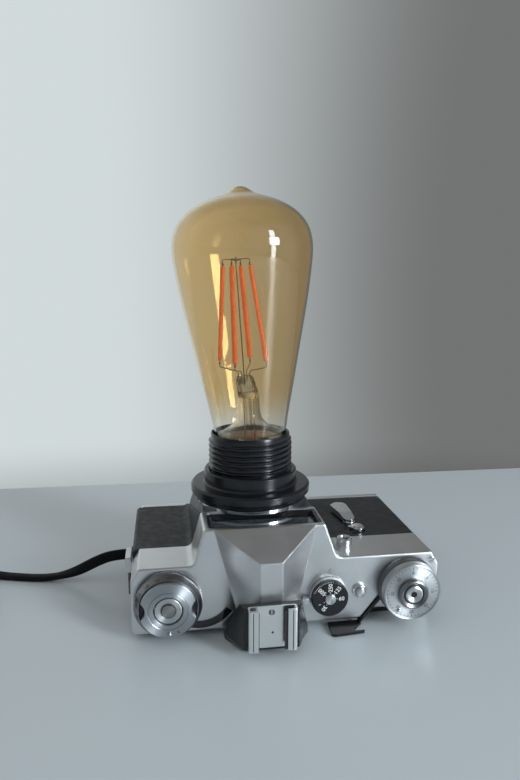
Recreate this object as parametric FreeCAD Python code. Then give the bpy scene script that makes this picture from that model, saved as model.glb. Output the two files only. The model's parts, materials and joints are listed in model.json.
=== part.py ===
import FreeCAD, Part
import math
import os

# A table lamp made from a 35 mm single-lens reflex camera body, lying on its back.
# An E27 lampholder stands in the lens mount and carries an amber filament bulb.
# Millimetres. X runs to the right, Y away from the viewer, towards the camera's base,
# and Z up, along the lens axis. The viewer looks at the camera's top cover.
# Everything is drawn about the lens axis and moved to the middle of the base at the end.

Vec = FreeCAD.Vector
os.makedirs("parts", exist_ok=True)

# Middle of the object's footprint, measured from the lens axis.
MIDDLE_X = 10.795
MIDDLE_Y = -10.6

# Camera body.
BODY_LEFT = -56.4
BODY_RIGHT = 80.5
PLATE_Y = -39.7
BASE_Y = 39.8
FRONT_Z = 32.7
COVER_REAR_Z = 3.0
SHEET = 1.0
COVER_SKIRT_Y = -18.0
BASE_SKIRT_Y = 35.6
CASTING_INSET = 1.15
LEATHER_INSET = 0.15

# Housing of the mirror and the light meter, which stands out of the front.
HOUSING_Z = 48.6
HOUSING_FOOT_LEFT = -29.8
HOUSING_FOOT_RIGHT = 33.6
HOUSING_TOP_LEFT = -25.2
HOUSING_TOP_RIGHT = 27.8
HOUSING_LIP_Z = 48.6

# Roof over the prism.
ROOF_FRONT_LEFT = -20.9
ROOF_FRONT_RIGHT = 23.8
ROOF_BACK_LEFT = -8.9
ROOF_BACK_RIGHT = 13.2
RIDGE_LEFT = -3.0
RIDGE_RIGHT = 6.4
RIDGE_FRONT_Z = 38.7
RIDGE_BACK_Z = 5.0
RIDGE_HEIGHT = 14.6

# Light meter window on the housing.
METER_LEFT = -23.0
METER_RIGHT = 26.9
METER_NEAR_Y = -37.6
METER_FAR_Y = -20.0

# Axes of the controls on the top cover, as (X, Z).
REWIND_AXIS = (-40.7, 17.3)
WIND_AXIS = (65.5, 17.9)
SPEED_AXIS = (29.3, 15.9)
UNLOCK_AXIS = (43.8, 16.6)

# Recess for the wind lever at the rear right corner.
RECESS_Y = -31.5
RECESS_Z = 14.6
RECESS_FOOT = (43.4, 2.3)
RECESS_HEAD = (53.4, 14.6)

# Lampholder, shade ring and bulb, on the lens axis.
MOUNT_Z = 50.5
MOUNT_R = 21.3
FLANGE_FOOT_Z = 53.0
FLANGE_TOP_Z = 57.4
FLANGE_R = 28.5
COLLAR_TOP_Z = 64.0
COLLAR_R = 22.1
HOLDER_TOP_Z = 81.5
THREAD_R = 19.9
THREAD_PITCH = 2.5
BULB_FOOT_Z = 79.0
BULB_LEAN_DEG = 2.35

# Flat twin flex: its width stands for its diameter.
CORD_D = 5.4
INNER_LEAD_D = 4.0
CORD_EXIT = Vec(-58.9, 14.0, 16.4)
COIL_MIDDLE = Vec(-172.0, -8.0, 0)
COIL_INNER_R = 21.6
COIL_STEP = 5.9
COIL_TURNS = 3.75
COIL_DIP = 1.2


# Profiles are lists of corners (a, b, radius). Each corner is rounded by an arc.


def turning(corners):
    area = 0.0
    for (a0, b0, _), (a1, b1, _) in zip(corners, corners[1:] + corners[:1]):
        area += a0 * b1 - a1 * b0
    return 1 if area > 0 else -1


def inset(corners, depth):
    """The same outline moved inwards by depth, with its corner radii fitted."""
    side = turning(corners)
    count = len(corners)
    moved = []
    for i, (a, b, radius) in enumerate(corners):
        before, after = corners[i - 1], corners[(i + 1) % count]
        u = FreeCAD.Vector(a - before[0], b - before[1], 0).normalize()
        w = FreeCAD.Vector(after[0] - a, after[1] - b, 0).normalize()
        cross = u.x * w.y - u.y * w.x
        dot = u.x * w.x + u.y * w.y
        nu, nw = Vec(-u.y, u.x, 0) * side, Vec(-w.y, w.x, 0) * side
        step = (nu + nw) * (depth / (1 + dot))
        convex = cross * side > 0
        fitted = max(radius - depth, 0.0) if convex else radius + max(depth, 0.0)
        moved.append((a + step.x, b + step.y, fitted))
    return moved


PLACE = {
    "x": lambda a, b, at: Vec(at, a, b),
    "y": lambda a, b, at: Vec(a, at, b),
    "z": lambda a, b, at: Vec(a, b, at),
}


def wire(corners, axis, at):
    """A closed wire through rounded corners, in the plane square to the axis."""
    count = len(corners)
    points = []
    for i, (a, b, radius) in enumerate(corners):
        here = Vec(a, b, 0)
        before = Vec(*corners[i - 1][:2], 0) - here
        after = Vec(*corners[(i + 1) % count][:2], 0) - here
        if radius <= 0:
            points.append((here, None, here))
            continue
        before.normalize()
        after.normalize()
        half = math.acos(max(-1.0, min(1.0, before.dot(after)))) / 2
        reach = radius / math.tan(half)
        middle = (before + after).normalize()
        crown = here + middle * (radius / math.sin(half) - radius)
        points.append((here + before * reach, crown, here + after * reach))
    place = PLACE[axis]
    edges = []
    for i, (start, crown, end) in enumerate(points):
        if crown is not None:
            spots = [place(p.x, p.y, at) for p in (start, crown, end)]
            edges.append(Part.Arc(*spots).toShape())
        following = points[(i + 1) % count][0]
        if (following - end).Length > 1e-6:
            line = Part.LineSegment(place(end.x, end.y, at), place(following.x, following.y, at))
            edges.append(line.toShape())
    return Part.Wire(edges)


AHEAD = {"x": Vec(1, 0, 0), "y": Vec(0, 1, 0), "z": Vec(0, 0, 1)}


def slab(corners, axis, low, high):
    """A plate of the outline, from low to high along the axis."""
    return Part.Face(wire(corners, axis, low)).extrude(AHEAD[axis] * (high - low))


def sharp(*pairs):
    return [(a, b, 0) for a, b in pairs]


def block(x, y, z):
    return Part.makeBox(x[1] - x[0], y[1] - y[0], z[1] - z[0], Vec(x[0], y[0], z[0]))


def round_block(x, y, z, radius, axis):
    """A block with its four edges along the axis rounded."""
    spans = {"x": (y, z), "y": (x, z), "z": (x, y)}[axis]
    (a0, a1), (b0, b1) = spans
    corners = [(a0, b0, radius), (a1, b0, radius), (a1, b1, radius), (a0, b1, radius)]
    low, high = {"x": x, "y": y, "z": z}[axis]
    return slab(corners, axis, low, high)


def post(radius, low, high, x=0.0, y=0.0):
    """A cylinder along Z."""
    return Part.makeCylinder(radius, high - low, Vec(x, y, low), Vec(0, 0, 1))


def stud(radius, low, high, centre):
    """A cylinder that stands on the top cover: low and high are heights above it."""
    x, z = centre
    return Part.makeCylinder(radius, high - low, Vec(x, PLATE_Y - low, z), Vec(0, -1, 0))


def bar(radius, low, high, x, z):
    """A cylinder along Y."""
    return Part.makeCylinder(radius, high - low, Vec(x, low, z), Vec(0, 1, 0))


def turned(profile, base=None, axis=None):
    """A solid of revolution from (radius, height) points, about Z unless told otherwise."""
    points = [Vec(r, 0, h) for r, h in profile]
    points.append(points[0])
    solid = Part.Face(Part.makePolygon(points)).revolve(Vec(0, 0, 0), Vec(0, 0, 1), 360)
    if axis is not None:
        turn = FreeCAD.Rotation(Vec(0, 0, 1), axis)
        solid.Placement = FreeCAD.Placement(Vec(0, 0, 0), turn).multiply(solid.Placement)
    if base is not None:
        solid.translate(base)
    return solid


def on_cover(profile, centre):
    """A turned piece that stands on the top cover, heights measured from it."""
    return turned(profile, Vec(centre[0], PLATE_Y, centre[1]), Vec(0, -1, 0))


def milled(radius, depth, count, low, high, centre, bore=0.0):
    """A knurled disc on the top cover: count fine ridges of the given depth."""
    corners = []
    for i in range(2 * count):
        angle = math.pi * i / count
        r = radius if i % 2 == 0 else radius - depth
        corners.append((centre[0] + r * math.cos(angle), centre[1] + r * math.sin(angle), 0))
    disc = slab(corners, "y", PLATE_Y - high, PLATE_Y - low)
    if bore:
        disc = disc.cut(stud(bore, low - 1, high + 1, centre))
    return disc


def loft(sections, ruled=True):
    return Part.makeLoft(sections, True, ruled)


def polyhedron(points, faces):
    shells = [Part.Face(Part.makePolygon([points[i] for i in f] + [points[f[0]]])) for f in faces]
    return Part.makeSolid(Part.makeShell(shells))


# Outlines of the body, seen from the top.


def end_corners(side, rear):
    """The corners of one end of the body, from the rear to the front."""
    edge = BODY_LEFT if side < 0 else BODY_RIGHT
    return [
        (edge, rear, 2.6),
        (edge, 27.1, 1.6),
        (edge - side * 3.2, FRONT_Z, 1.3),
    ]


def plan(rear, housing):
    """The body's outline in X and Z, with or without the housing."""
    front = [
        (HOUSING_FOOT_LEFT, FRONT_Z, 3.5),
        (HOUSING_TOP_LEFT, HOUSING_Z, 1.2),
        (HOUSING_TOP_RIGHT, HOUSING_Z, 1.2),
        (HOUSING_FOOT_RIGHT, FRONT_Z, 3.5),
    ]
    left = end_corners(-1, rear)
    right = end_corners(1, rear)[::-1]
    return left + (front if housing else []) + right


def roof(gap=0.0):
    """The faceted roof, made smaller on every side by gap."""
    foot_y = PLATE_Y + 2
    low = PLATE_Y
    top = PLATE_Y - RIDGE_HEIGHT + gap
    back = COVER_REAR_Z + gap
    reach = (HOUSING_Z - RIDGE_FRONT_Z) / (HOUSING_Z - back)
    left_mid = ROOF_FRONT_LEFT + reach * (ROOF_BACK_LEFT - ROOF_FRONT_LEFT) + 1.2 * gap
    right_mid = ROOF_FRONT_RIGHT + reach * (ROOF_BACK_RIGHT - ROOF_FRONT_RIGHT) - 1.2 * gap
    front_left, front_right = ROOF_FRONT_LEFT + 1.8 * gap, ROOF_FRONT_RIGHT - 1.8 * gap
    back_left, back_right = ROOF_BACK_LEFT + 1.2 * gap, ROOF_BACK_RIGHT - 1.2 * gap
    ridge_left, ridge_right = RIDGE_LEFT + 0.4 * gap, RIDGE_RIGHT - 0.4 * gap
    front = HOUSING_Z - 1.5 * gap
    ridge_front = RIDGE_FRONT_Z - 0.3 * gap

    def section(left, right, z, ridge_z):
        return Part.makePolygon(
            [
                Vec(left, foot_y, z),
                Vec(left, low, z),
                Vec(ridge_left, top, ridge_z),
                Vec(ridge_right, top, ridge_z),
                Vec(right, low, z),
                Vec(right, foot_y, z),
                Vec(left, foot_y, z),
            ]
        )

    long_part = loft(
        [
            section(left_mid, right_mid, ridge_front, ridge_front),
            section(back_left, back_right, back, back),
        ]
    )
    points = [
        Vec(left_mid, foot_y, ridge_front),
        Vec(left_mid, low, ridge_front),
        Vec(ridge_left, top, ridge_front),
        Vec(ridge_right, top, ridge_front),
        Vec(right_mid, low, ridge_front),
        Vec(right_mid, foot_y, ridge_front),
        Vec(front_left, low, front),
        Vec(front_right, low, front),
        Vec(front_left, foot_y, front),
        Vec(front_right, foot_y, front),
    ]
    faces = [
        (0, 1, 2, 3, 4, 5),
        (6, 2, 1),
        (7, 4, 3),
        (6, 7, 3, 2),
        (0, 8, 6, 1),
        (5, 4, 7, 9),
        (8, 9, 7, 6),
        (0, 5, 9, 8),
    ]
    return long_part.fuse(polyhedron(points, faces))


def recess(grow=0.0):
    """The space behind the cover's rear right corner in which the wind lever lies."""
    foot, head = RECESS_FOOT, RECESS_HEAD
    lean = (head[0] - foot[0]) / (head[1] - foot[1])
    low_z = COVER_REAR_Z - 8
    corners = sharp(
        (foot[0] - lean * (foot[1] - low_z) - grow, low_z),
        (BODY_RIGHT + 5, low_z),
        (BODY_RIGHT + 5, head[1] + grow),
        (head[0] - 1.3 * grow, head[1] + grow),
    )
    return slab(corners, "y", PLATE_Y - 5, RECESS_Y + grow)


NEEDLE_CENTRE = (-27.0, 21.6)
NEEDLE_R = 15.75
NEEDLE_DEG = (-108, -37)
NEEDLE_WIDTH = 3.5


def arc_slot(width, low, high):
    """The curved needle window in the cover beside the rewind dial."""
    centre = Vec(NEEDLE_CENTRE[0], 0, NEEDLE_CENTRE[1])
    outer, inner = [], []
    for degrees in (NEEDLE_DEG[0], sum(NEEDLE_DEG) / 2, NEEDLE_DEG[1]):
        angle = math.radians(degrees)
        away = Vec(math.cos(angle), 0, math.sin(angle))
        outer.append(centre + away * (NEEDLE_R + width / 2))
        inner.append(centre + away * (NEEDLE_R - width / 2))
    edges = [
        Part.Arc(*outer).toShape(),
        Part.LineSegment(outer[2], inner[2]).toShape(),
        Part.Arc(*inner[::-1]).toShape(),
        Part.LineSegment(inner[0], outer[0]).toShape(),
    ]
    face = Part.Face(Part.Wire(Part.__sortEdges__(edges)))
    face.translate(Vec(0, low, 0))
    return face.extrude(Vec(0, high - low, 0))


# Covers and castings.


def top_cover():
    shell = slab(plan(COVER_REAR_Z, True), "y", PLATE_Y, COVER_SKIRT_Y)
    edges = [e for e in shell.Edges if abs(e.BoundBox.YMax - PLATE_Y) < 1e-6]
    shell = shell.makeFillet(0.9, edges)
    hollow = slab(inset(plan(COVER_REAR_Z, True), SHEET), "y", PLATE_Y + SHEET, COVER_SKIRT_Y + 1)
    cover = shell.fuse(roof()).cut(hollow).cut(roof(SHEET))
    lining = slab(inset(plan(COVER_REAR_Z, False), 0.4), "y", PLATE_Y + 0.4, RECESS_Y + SHEET)
    cover = cover.fuse(lining.common(recess(SHEET))).cut(recess())
    cover = cover.cut(block((-52, 84), (-31.2, 0), (COVER_REAR_Z - 2, COVER_REAR_Z + 2.2)))
    window = [
        (METER_LEFT, METER_NEAR_Y, 1.6),
        (METER_RIGHT, METER_NEAR_Y, 1.6),
        (METER_RIGHT, METER_FAR_Y, 1.6),
        (METER_LEFT, METER_FAR_Y, 1.6),
    ]
    cover = cover.cut(slab(window, "z", HOUSING_Z - 3, HOUSING_Z + 1)).cut(post(MOUNT_R, 40, 55))
    cover = cover.cut(post(SYNC_R, FRONT_Z - 3, FRONT_Z + 1, *SYNC_SPOT))
    cover = cover.cut(stud(4.2, -3, 2, REWIND_AXIS))
    cover = cover.cut(stud(4.3, -7, 2, WIND_AXIS))
    cover = cover.cut(stud(2.6, -3, 2, SPEED_AXIS))
    cover = cover.cut(stud(2.4, -3, 2, UNLOCK_AXIS))
    cover = cover.cut(arc_slot(NEEDLE_WIDTH, PLATE_Y - 1, PLATE_Y + 2))
    cover = cover.cut(block((-4.2, 7.6), (-50.5, -43.5), (0, 6.5)))
    return cover.cut(stud(0.9, -3, 2, COVER_SCREW))


COVER_SCREW = (77.0, 29.0)


def cover_screw():
    x, z = COVER_SCREW
    head = on_cover([(0, 0), (1.5, 0), (1.5, 0.35), (1.2, 0.6), (0, 0.6)], COVER_SCREW)
    head = head.fuse(stud(0.85, -3.2, 0.1, COVER_SCREW))
    slot = block((x - 2, x + 2), (PLATE_Y - 1, PLATE_Y - 0.3), (z - 0.2, z + 0.2))
    return head.cut(slot)


CHAMBER_R = 13.2
SPOOL_BAY_R = 12.2
SPOOL_AXIS = (63.5, 16.4)
SPROCKET_AXIS = (35.6, 11.4)
CASSETTE_TOP_Y = -29.5
SPOOL_TOP_Y = -28.5
BAY_FOOT_Y = 31.5
CRATE_FRONT_Z = 29.6
ARCH_Z = 26.5
SEAM = 0.04


def film_bays():
    """The cassette's and the take-up spool's bays, open to the rear."""
    x, z = REWIND_AXIS
    bays = bar(CHAMBER_R, CASSETTE_TOP_Y, BAY_FOOT_Y, x, z)
    bays = bays.fuse(block((x - 12.6, x + 12.6), (CASSETTE_TOP_Y, BAY_FOOT_Y), (0, z)))
    x, z = SPOOL_AXIS
    bays = bays.fuse(bar(SPOOL_BAY_R, SPOOL_TOP_Y, BAY_FOOT_Y, x, z))
    return bays.fuse(block((x - 11.6, x + 11.6), (SPOOL_TOP_Y, BAY_FOOT_Y), (0, z)))


def front_holes():
    """What opens through the front wall into the crate: the mirror box and the self-timer's two bores."""
    holes = block((-22, 22), (-21, 21), (8, FRONT_Z))
    for x, y in (TIMER_PIVOT, TIMER_BUTTON):
        holes = holes.fuse(post(1.8, FRONT_Z - 6, FRONT_Z, x, y))
    return holes.fuse(Part.makeCylinder(3.1, 40, Vec(-60, CORD_EXIT.y, CORD_EXIT.z), Vec(1, 0, 0)))


def in_walls(casting):
    """The casting as its walls, parted by hair-fine seams, so that each is a simple solid."""
    belt = (SPOOL_TOP_Y, BAY_FOOT_Y)
    for y in (SPOOL_TOP_Y - SEAM, BAY_FOOT_Y):
        casting = casting.cut(block((-60, 90), (y, y + SEAM), (0, 40)))
    casting = casting.cut(block((-60, 90), belt, (ARCH_Z, ARCH_Z + SEAM)))
    for x in (-22 - SEAM, 22):
        casting = casting.cut(block((x, x + SEAM), belt, (0, 40)))
    return casting


def body_casting():
    casting = slab(inset(plan(COVER_REAR_Z, False), CASTING_INSET), "y", PLATE_Y + SHEET + 0.1, 38.6)
    casting = casting.cut(block((-60, 90), (-50, 50), (-5, COVER_REAR_Z)))
    casting = casting.cut(recess(SHEET + 0.1)).cut(film_bays())
    pocket = (REWIND_AXIS[0], SPOOL_AXIS[0])
    casting = casting.cut(block(pocket, (SPOOL_TOP_Y, BAY_FOOT_Y), (0, CRATE_FRONT_Z)))
    casting = casting.cut(front_holes())
    casting = casting.cut(bar(2.65, -40, -28, *REWIND_AXIS))
    casting = casting.cut(stud(4.3, -5, 2, WIND_AXIS))
    casting = casting.cut(bar(1.55, 30, 34, *SPOOL_AXIS))
    casting = casting.cut(bar(1.55, -31, -27, *SPOOL_AXIS))
    casting = casting.cut(bar(3.6, 30, 40, 0, TRIPOD_Z))
    casting = casting.cut(block((76.6, 84), (-32, 36), (0, 4.4)))
    casting = casting.cut(stud(0.95, -5, 2, COVER_SCREW))
    casting = casting.cut(stud(2.4, -5, 0, UNLOCK_AXIS))
    return in_walls(casting.cut(stud(2.45, -5, 0, SPEED_AXIS)))


def shutter_crate():
    """The inner frame with the film gate, the mirror box and the sprocket's bay."""
    height = (SPOOL_TOP_Y + 0.1, BAY_FOOT_Y - 0.1)
    crate = block((-33.0, 56.0), height, (COVER_REAR_Z + CASTING_INSET, CRATE_FRONT_Z))
    crate = crate.cut(film_bays()).cut(front_holes())
    crate = crate.cut(block((-30, 55), (-17.6, 17.6), (0, 4.6)))
    crate = crate.cut(round_block((-18.2, 18.2), (-12.2, 12.2), (0, 12), 0.8, "z"))
    x, z = SPROCKET_AXIS
    crate = crate.cut(bar(7.2, -24, 24, x, z)).cut(block((x - 7, x + 7), (-24, 24), (0, z)))
    crate = crate.cut(bar(1.25, -26, -22, x, z)).cut(bar(1.25, 22, 26, x, z))
    return crate.cut(bar(3.6, 30, 40, 0, TRIPOD_Z))


def housing_section(gap, low_z, high_z, y):
    """The housing's sloping section between two heights, square to Y."""
    rise = HOUSING_Z - FRONT_Z
    left_slope = (HOUSING_TOP_LEFT - HOUSING_FOOT_LEFT) / rise
    right_slope = (HOUSING_TOP_RIGHT - HOUSING_FOOT_RIGHT) / rise

    def left(z):
        return HOUSING_FOOT_LEFT + left_slope * (z - FRONT_Z) + gap

    def right(z):
        return HOUSING_FOOT_RIGHT + right_slope * (z - FRONT_Z) - gap

    corners = sharp(
        (left(low_z), low_z), (right(low_z), low_z), (right(high_z), high_z), (left(high_z), high_z)
    )
    return wire(corners, "y", y)


def mirror_housing():
    low_z = FRONT_Z - CASTING_INSET + 0.02
    start_y, end_y = COVER_SKIRT_Y + 0.1, 35.4
    section = housing_section(CASTING_INSET + 0.1, low_z, HOUSING_LIP_Z, start_y)
    body = Part.Face(section).extrude(Vec(0, end_y - start_y, 0))
    side = [
        (start_y - 1, low_z - 1, 0),
        (start_y - 1, HOUSING_LIP_Z, 0),
        (25.5, HOUSING_LIP_Z, 4),
        (end_y, 38.5, 2),
        (end_y, low_z - 1, 0),
    ]
    body = body.common(slab(side, "x", -40, 45))
    body = body.cut(block((-22, 22), (-16.5, 21), (low_z - 1, 44.5)))
    return body.cut(post(MOUNT_R, 40, 55))


# The leatherette is squarer than the covers at the left end's front corner.
LEATHER_CORNER = [(BODY_LEFT, 31.2, 0.8), (BODY_LEFT + 1.2, FRONT_Z, 0.8)]


def leather_shell():
    belt = (COVER_SKIRT_Y + 0.1, BASE_SKIRT_Y - 0.1)
    outline = plan(COVER_REAR_Z, True)
    outline[1:3] = LEATHER_CORNER
    outer = slab(inset(outline, LEATHER_INSET), "y", *belt)
    inner = slab(inset(plan(COVER_REAR_Z, True), CASTING_INSET), "y", COVER_SKIRT_Y, BASE_SKIRT_Y)
    shell = outer.cut(inner)
    shell = shell.cut(block((-70, 90), (-50, 50), (-1, 5.6)))
    over = [
        (COVER_SKIRT_Y - 1, HOUSING_Z - 0.9, 0),
        (BASE_SKIRT_Y + 1, FRONT_Z + 0.6, 0),
        (BASE_SKIRT_Y + 1, HOUSING_Z + 5, 0),
        (COVER_SKIRT_Y - 1, HOUSING_Z + 5, 0),
    ]
    return shell.cut(slab(over, "x", -40, 45))


def leatherette(side):
    span = (-70, HOUSING_TOP_LEFT + 0.5) if side < 0 else (HOUSING_TOP_RIGHT - 0.5, 90)
    piece = leather_shell().common(block(span, (-50, 50), (0, 60)))
    if side < 0:
        hole = Part.makeCylinder(3.9, 10, Vec(-60, CORD_EXIT.y, CORD_EXIT.z), Vec(1, 0, 0))
        return piece.cut(hole).cut(block((-60, -55), LATCH_SPAN_Y, (4, LATCH_TOP_Z + 0.2)))
    for x, y, radius in (
        (SYNC_SPOT[0], SYNC_SPOT[1], 3.9),
        (TIMER_PIVOT[0], TIMER_PIVOT[1], 3.0),
        (TIMER_BUTTON[0], TIMER_BUTTON[1], 3.9),
    ):
        piece = piece.cut(post(radius, 25, 36, x, y))
    return piece


def base_cover():
    outline = plan(0.0, False)
    pan = slab(outline, "y", BASE_SKIRT_Y, BASE_Y)
    edges = [e for e in pan.Edges if abs(e.BoundBox.YMin - BASE_Y) < 1e-6]
    pan = pan.makeFillet(0.9, edges)
    pan = pan.cut(slab(inset(outline, SHEET), "y", BASE_SKIRT_Y - 1, BASE_Y - SHEET))
    return pan.cut(bar(6.0, 30, 45, 0, TRIPOD_Z))


TRIPOD_Z = 17.0


def tripod_bush():
    bush = bar(6.0, BASE_Y - 0.9, BASE_Y, 0, TRIPOD_Z).fuse(bar(3.5, 31, BASE_Y - 0.5, 0, TRIPOD_Z))
    return bush.cut(bar(2.6, 32, BASE_Y + 1, 0, TRIPOD_Z))


def mount_ring():
    return turned(
        [(20.6, 45.0), (MOUNT_R, 45.0), (MOUNT_R, HOUSING_LIP_Z), (25.2, HOUSING_LIP_Z),
         (25.2, MOUNT_Z - 0.5), (24.7, MOUNT_Z), (20.6, MOUNT_Z)]
    )


def adapter_disc():
    return turned(
        [(17.2, 45.4), (20.5, 45.4), (20.5, MOUNT_Z), (26.2, MOUNT_Z), (26.7, MOUNT_Z + 0.5),
         (26.7, FLANGE_FOOT_Z - 0.3), (26.4, FLANGE_FOOT_Z), (17.2, FLANGE_FOOT_Z)]
    )


# Windows, socket and eyepiece.


def window_outline(gap, radius):
    return [
        (METER_LEFT + gap, METER_NEAR_Y + gap, radius),
        (METER_RIGHT - gap, METER_NEAR_Y + gap, radius),
        (METER_RIGHT - gap, METER_FAR_Y - gap, radius),
        (METER_LEFT + gap, METER_FAR_Y - gap, radius),
    ]


GLASS_X = (-20.4, 25.2)
GLASS_Y = (-33.4, -25.2)


def meter_frame():
    frame = slab(window_outline(0.05, 1.5), "z", HOUSING_Z - 4.0, HOUSING_Z - 0.3)
    hole = round_block(GLASS_X, GLASS_Y, (HOUSING_Z - 5, HOUSING_Z), 0.6, "z")
    bevel = loft(
        [
            wire(inset(window_outline(0.05, 0), 3.4), "z", HOUSING_Z - 1.8),
            wire(inset(window_outline(0.05, 0), 1.2), "z", HOUSING_Z - 0.2),
        ]
    )
    return frame.cut(hole).cut(bevel).cut(post(MOUNT_R, 40, 55))


def meter_glass():
    return round_block(GLASS_X, GLASS_Y, (HOUSING_Z - 3.6, HOUSING_Z - 2.0), 0.6, "z")


def needle_window():
    return arc_slot(NEEDLE_WIDTH - 0.1, PLATE_Y + 0.35, PLATE_Y + 0.95)


SYNC_SPOT = (40.3, -25.6)
SYNC_R = 3.7


def sync_socket():
    x, y = SYNC_SPOT
    seat = FRONT_Z - CASTING_INSET
    socket = turned(
        [(1.9, seat), (SYNC_R, seat), (SYNC_R, FRONT_Z + 2.6), (3.3, FRONT_Z + 3.1), (2.6, FRONT_Z + 3.1),
         (2.2, FRONT_Z + 2.4), (1.9, FRONT_Z + 2.4)],
        Vec(x, y, 0),
    )
    return socket.fuse(post(1.95, seat, seat + 0.8, x, y))


def eyepiece_frame():
    frame = round_block((-6.0, 9.4), (-51.6, -42.4), (0.9, COVER_REAR_Z - 0.02), 1.2, "z")
    frame = frame.fuse(round_block((-4.1, 7.5), (-50.4, -43.6), (1.0, 6.2), 0.8, "z"))
    return frame.cut(round_block((-3.0, 6.4), (-49.4, -44.6), (0, 8), 0.8, "z"))


def eyepiece_glass():
    return round_block((-3.0, 6.4), (-49.4, -44.6), (2.4, 4.0), 0.8, "z")


# Accessory shoe on its bracket, which clips on the eyepiece.


# The bracket's outline at its rear edge, at its widest and at its front wall.
BRACKET_REAR = [(-16.8, -42.7), (19.9, -42.4), (13.0, -52.6), (12.2, -53.2), (-9.6, -53.2), (-10.6, -52.6)]
BRACKET_WIDE = [(-17.5, -43.2), (19.7, -43.2), (13.2, -57.6), (12.6, -58.5), (-9.6, -58.5), (-10.6, -57.6)]
BRACKET_FRONT = [(-12.0, -54.2), (14.2, -54.2), (12.8, -57.6), (12.2, -58.5), (-9.6, -58.5), (-10.6, -57.6)]
BRACKET_WIDE_Z = 3.3
BRACKET_FRONT_Z = 21.9
BRACKET_SHEET = 1.5


def bracket_section(points, z, gap=0.0):
    """The outline at a height, or inside it by a gap and carried on towards the roof."""
    corners = list(points)
    if gap:
        for i, neighbour in ((0, points[-1]), (1, points[2])):
            x, y = points[i]
            corners[i] = (2 * x - neighbour[0], 2 * y - neighbour[1])
    return wire(inset(sharp(*corners), gap), "z", z)


def shoe_bracket():
    sections = [(BRACKET_REAR, 0.0), (BRACKET_WIDE, BRACKET_WIDE_Z), (BRACKET_FRONT, BRACKET_FRONT_Z)]
    outer = loft([bracket_section(points, z) for points, z in sections])
    within = [(BRACKET_REAR, BRACKET_SHEET), (BRACKET_WIDE, BRACKET_WIDE_Z + 1)]
    within.append((BRACKET_FRONT, BRACKET_FRONT_Z - BRACKET_SHEET))
    inner = loft([bracket_section(points, z, BRACKET_SHEET) for points, z in within])
    bracket = outer.cut(inner).cut(roof(-0.35))
    for x, z, radius in SHOE_SCREWS:
        bracket = bracket.cut(bar(radius, -60, -55, x, z))
    return bracket.cut(round_block((-6.0, 9.4), (-51.6, -38.0), (-1, 3.2), 1.2, "z"))


SHOE_LEFT = -9.0
SHOE_RIGHT = 11.1
SHOE_Z = (4.7, 22.8)
SHOE_FLOOR_Y = -59.5
SHOE_TOP_Y = -62.9
SHOE_WALL = 0.7
SHOE_LIP = 4.0


def accessory_shoe():
    left, right, wall, lip = SHOE_LEFT, SHOE_RIGHT, SHOE_WALL, SHOE_LIP
    under = SHOE_FLOOR_Y + 1.0
    profile = [
        (left, under, 0.3),
        (right, under, 0.3),
        (right, SHOE_TOP_Y, 0.6),
        (right - lip, SHOE_TOP_Y, 0.3),
        (right - lip, SHOE_TOP_Y + 1.0, 0.2),
        (right - wall, SHOE_TOP_Y + 1.0, 0),
        (right - wall, SHOE_FLOOR_Y, 0),
        (left + wall, SHOE_FLOOR_Y, 0),
        (left + wall, SHOE_TOP_Y + 1.0, 0),
        (left + lip, SHOE_TOP_Y + 1.0, 0.2),
        (left + lip, SHOE_TOP_Y, 0.3),
        (left, SHOE_TOP_Y, 0.6),
    ]
    shoe = slab(profile, "z", *SHOE_Z)
    for x, z, radius in SHOE_SCREWS:
        shoe = shoe.cut(bar(radius + 0.05, -61, -55, x, z))
    return shoe


# A screw and a rivet: their places in X and Z and their radii.
SHOE_SCREWS = [(0.9, 20.2, 1.3), (1.3, 11.3, 0.5)]


def shoe_screws():
    screws = []
    for x, z, radius in SHOE_SCREWS:
        head = bar(radius, SHOE_FLOOR_Y + 0.05, -56.4, x, z)
        if radius > 1:
            head = head.cut(block((x - 0.2, x + 0.2), (SHOE_FLOOR_Y, SHOE_FLOOR_Y + 0.6), (z - 1.5, z + 1.5)))
        screws.append(head)
    return Part.makeCompound(screws)


# Controls on the top cover.


def meter_ring():
    ring = milled(14.6, 0.35, 72, 0.25, 3.2, REWIND_AXIS)
    cone = on_cover([(0, 3.1), (14.3, 3.1), (14.3, 3.5), (12.9, 6.0), (12.4, 6.0), (0, 6.0)], REWIND_AXIS)
    ring = ring.fuse(cone)
    ring = ring.cut(stud(12.35, 4.6, 7, REWIND_AXIS))
    return ring.cut(stud(4.4, -1, 7, REWIND_AXIS))


def meter_disc():
    disc = on_cover(
        [(6.5, 4.7), (12.1, 4.7), (12.1, 6.4), (11.5, 6.8), (8.6, 6.9), (8.3, 7.15), (6.8, 7.15), (6.5, 6.9)],
        REWIND_AXIS,
    )
    x, z = REWIND_AXIS
    for side in (-1, 1):
        disc = disc.cut(stud(3.1, 5.2, 9, (x + side * 13.4, z - 0.4)))
    return disc.fuse(on_cover([(0, 6.5), (0.9, 6.5), (0.9, 7.7), (0.5, 8.1), (0, 8.1)], (x, z - 10.3)))


def rewind_knob():
    """The crank's knob on its sleeve, which slides on the spindle when it is pulled."""
    return on_cover(
        [(1.55, -10.0), (2.6, -10.0), (2.6, 4.7), (6.2, 4.7), (6.2, 7.3), (5.9, 7.6), (3.1, 7.5),
         (3.0, 7.9), (0, 7.9), (0, 6.9), (1.55, 6.9)],
        REWIND_AXIS,
    )


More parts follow.
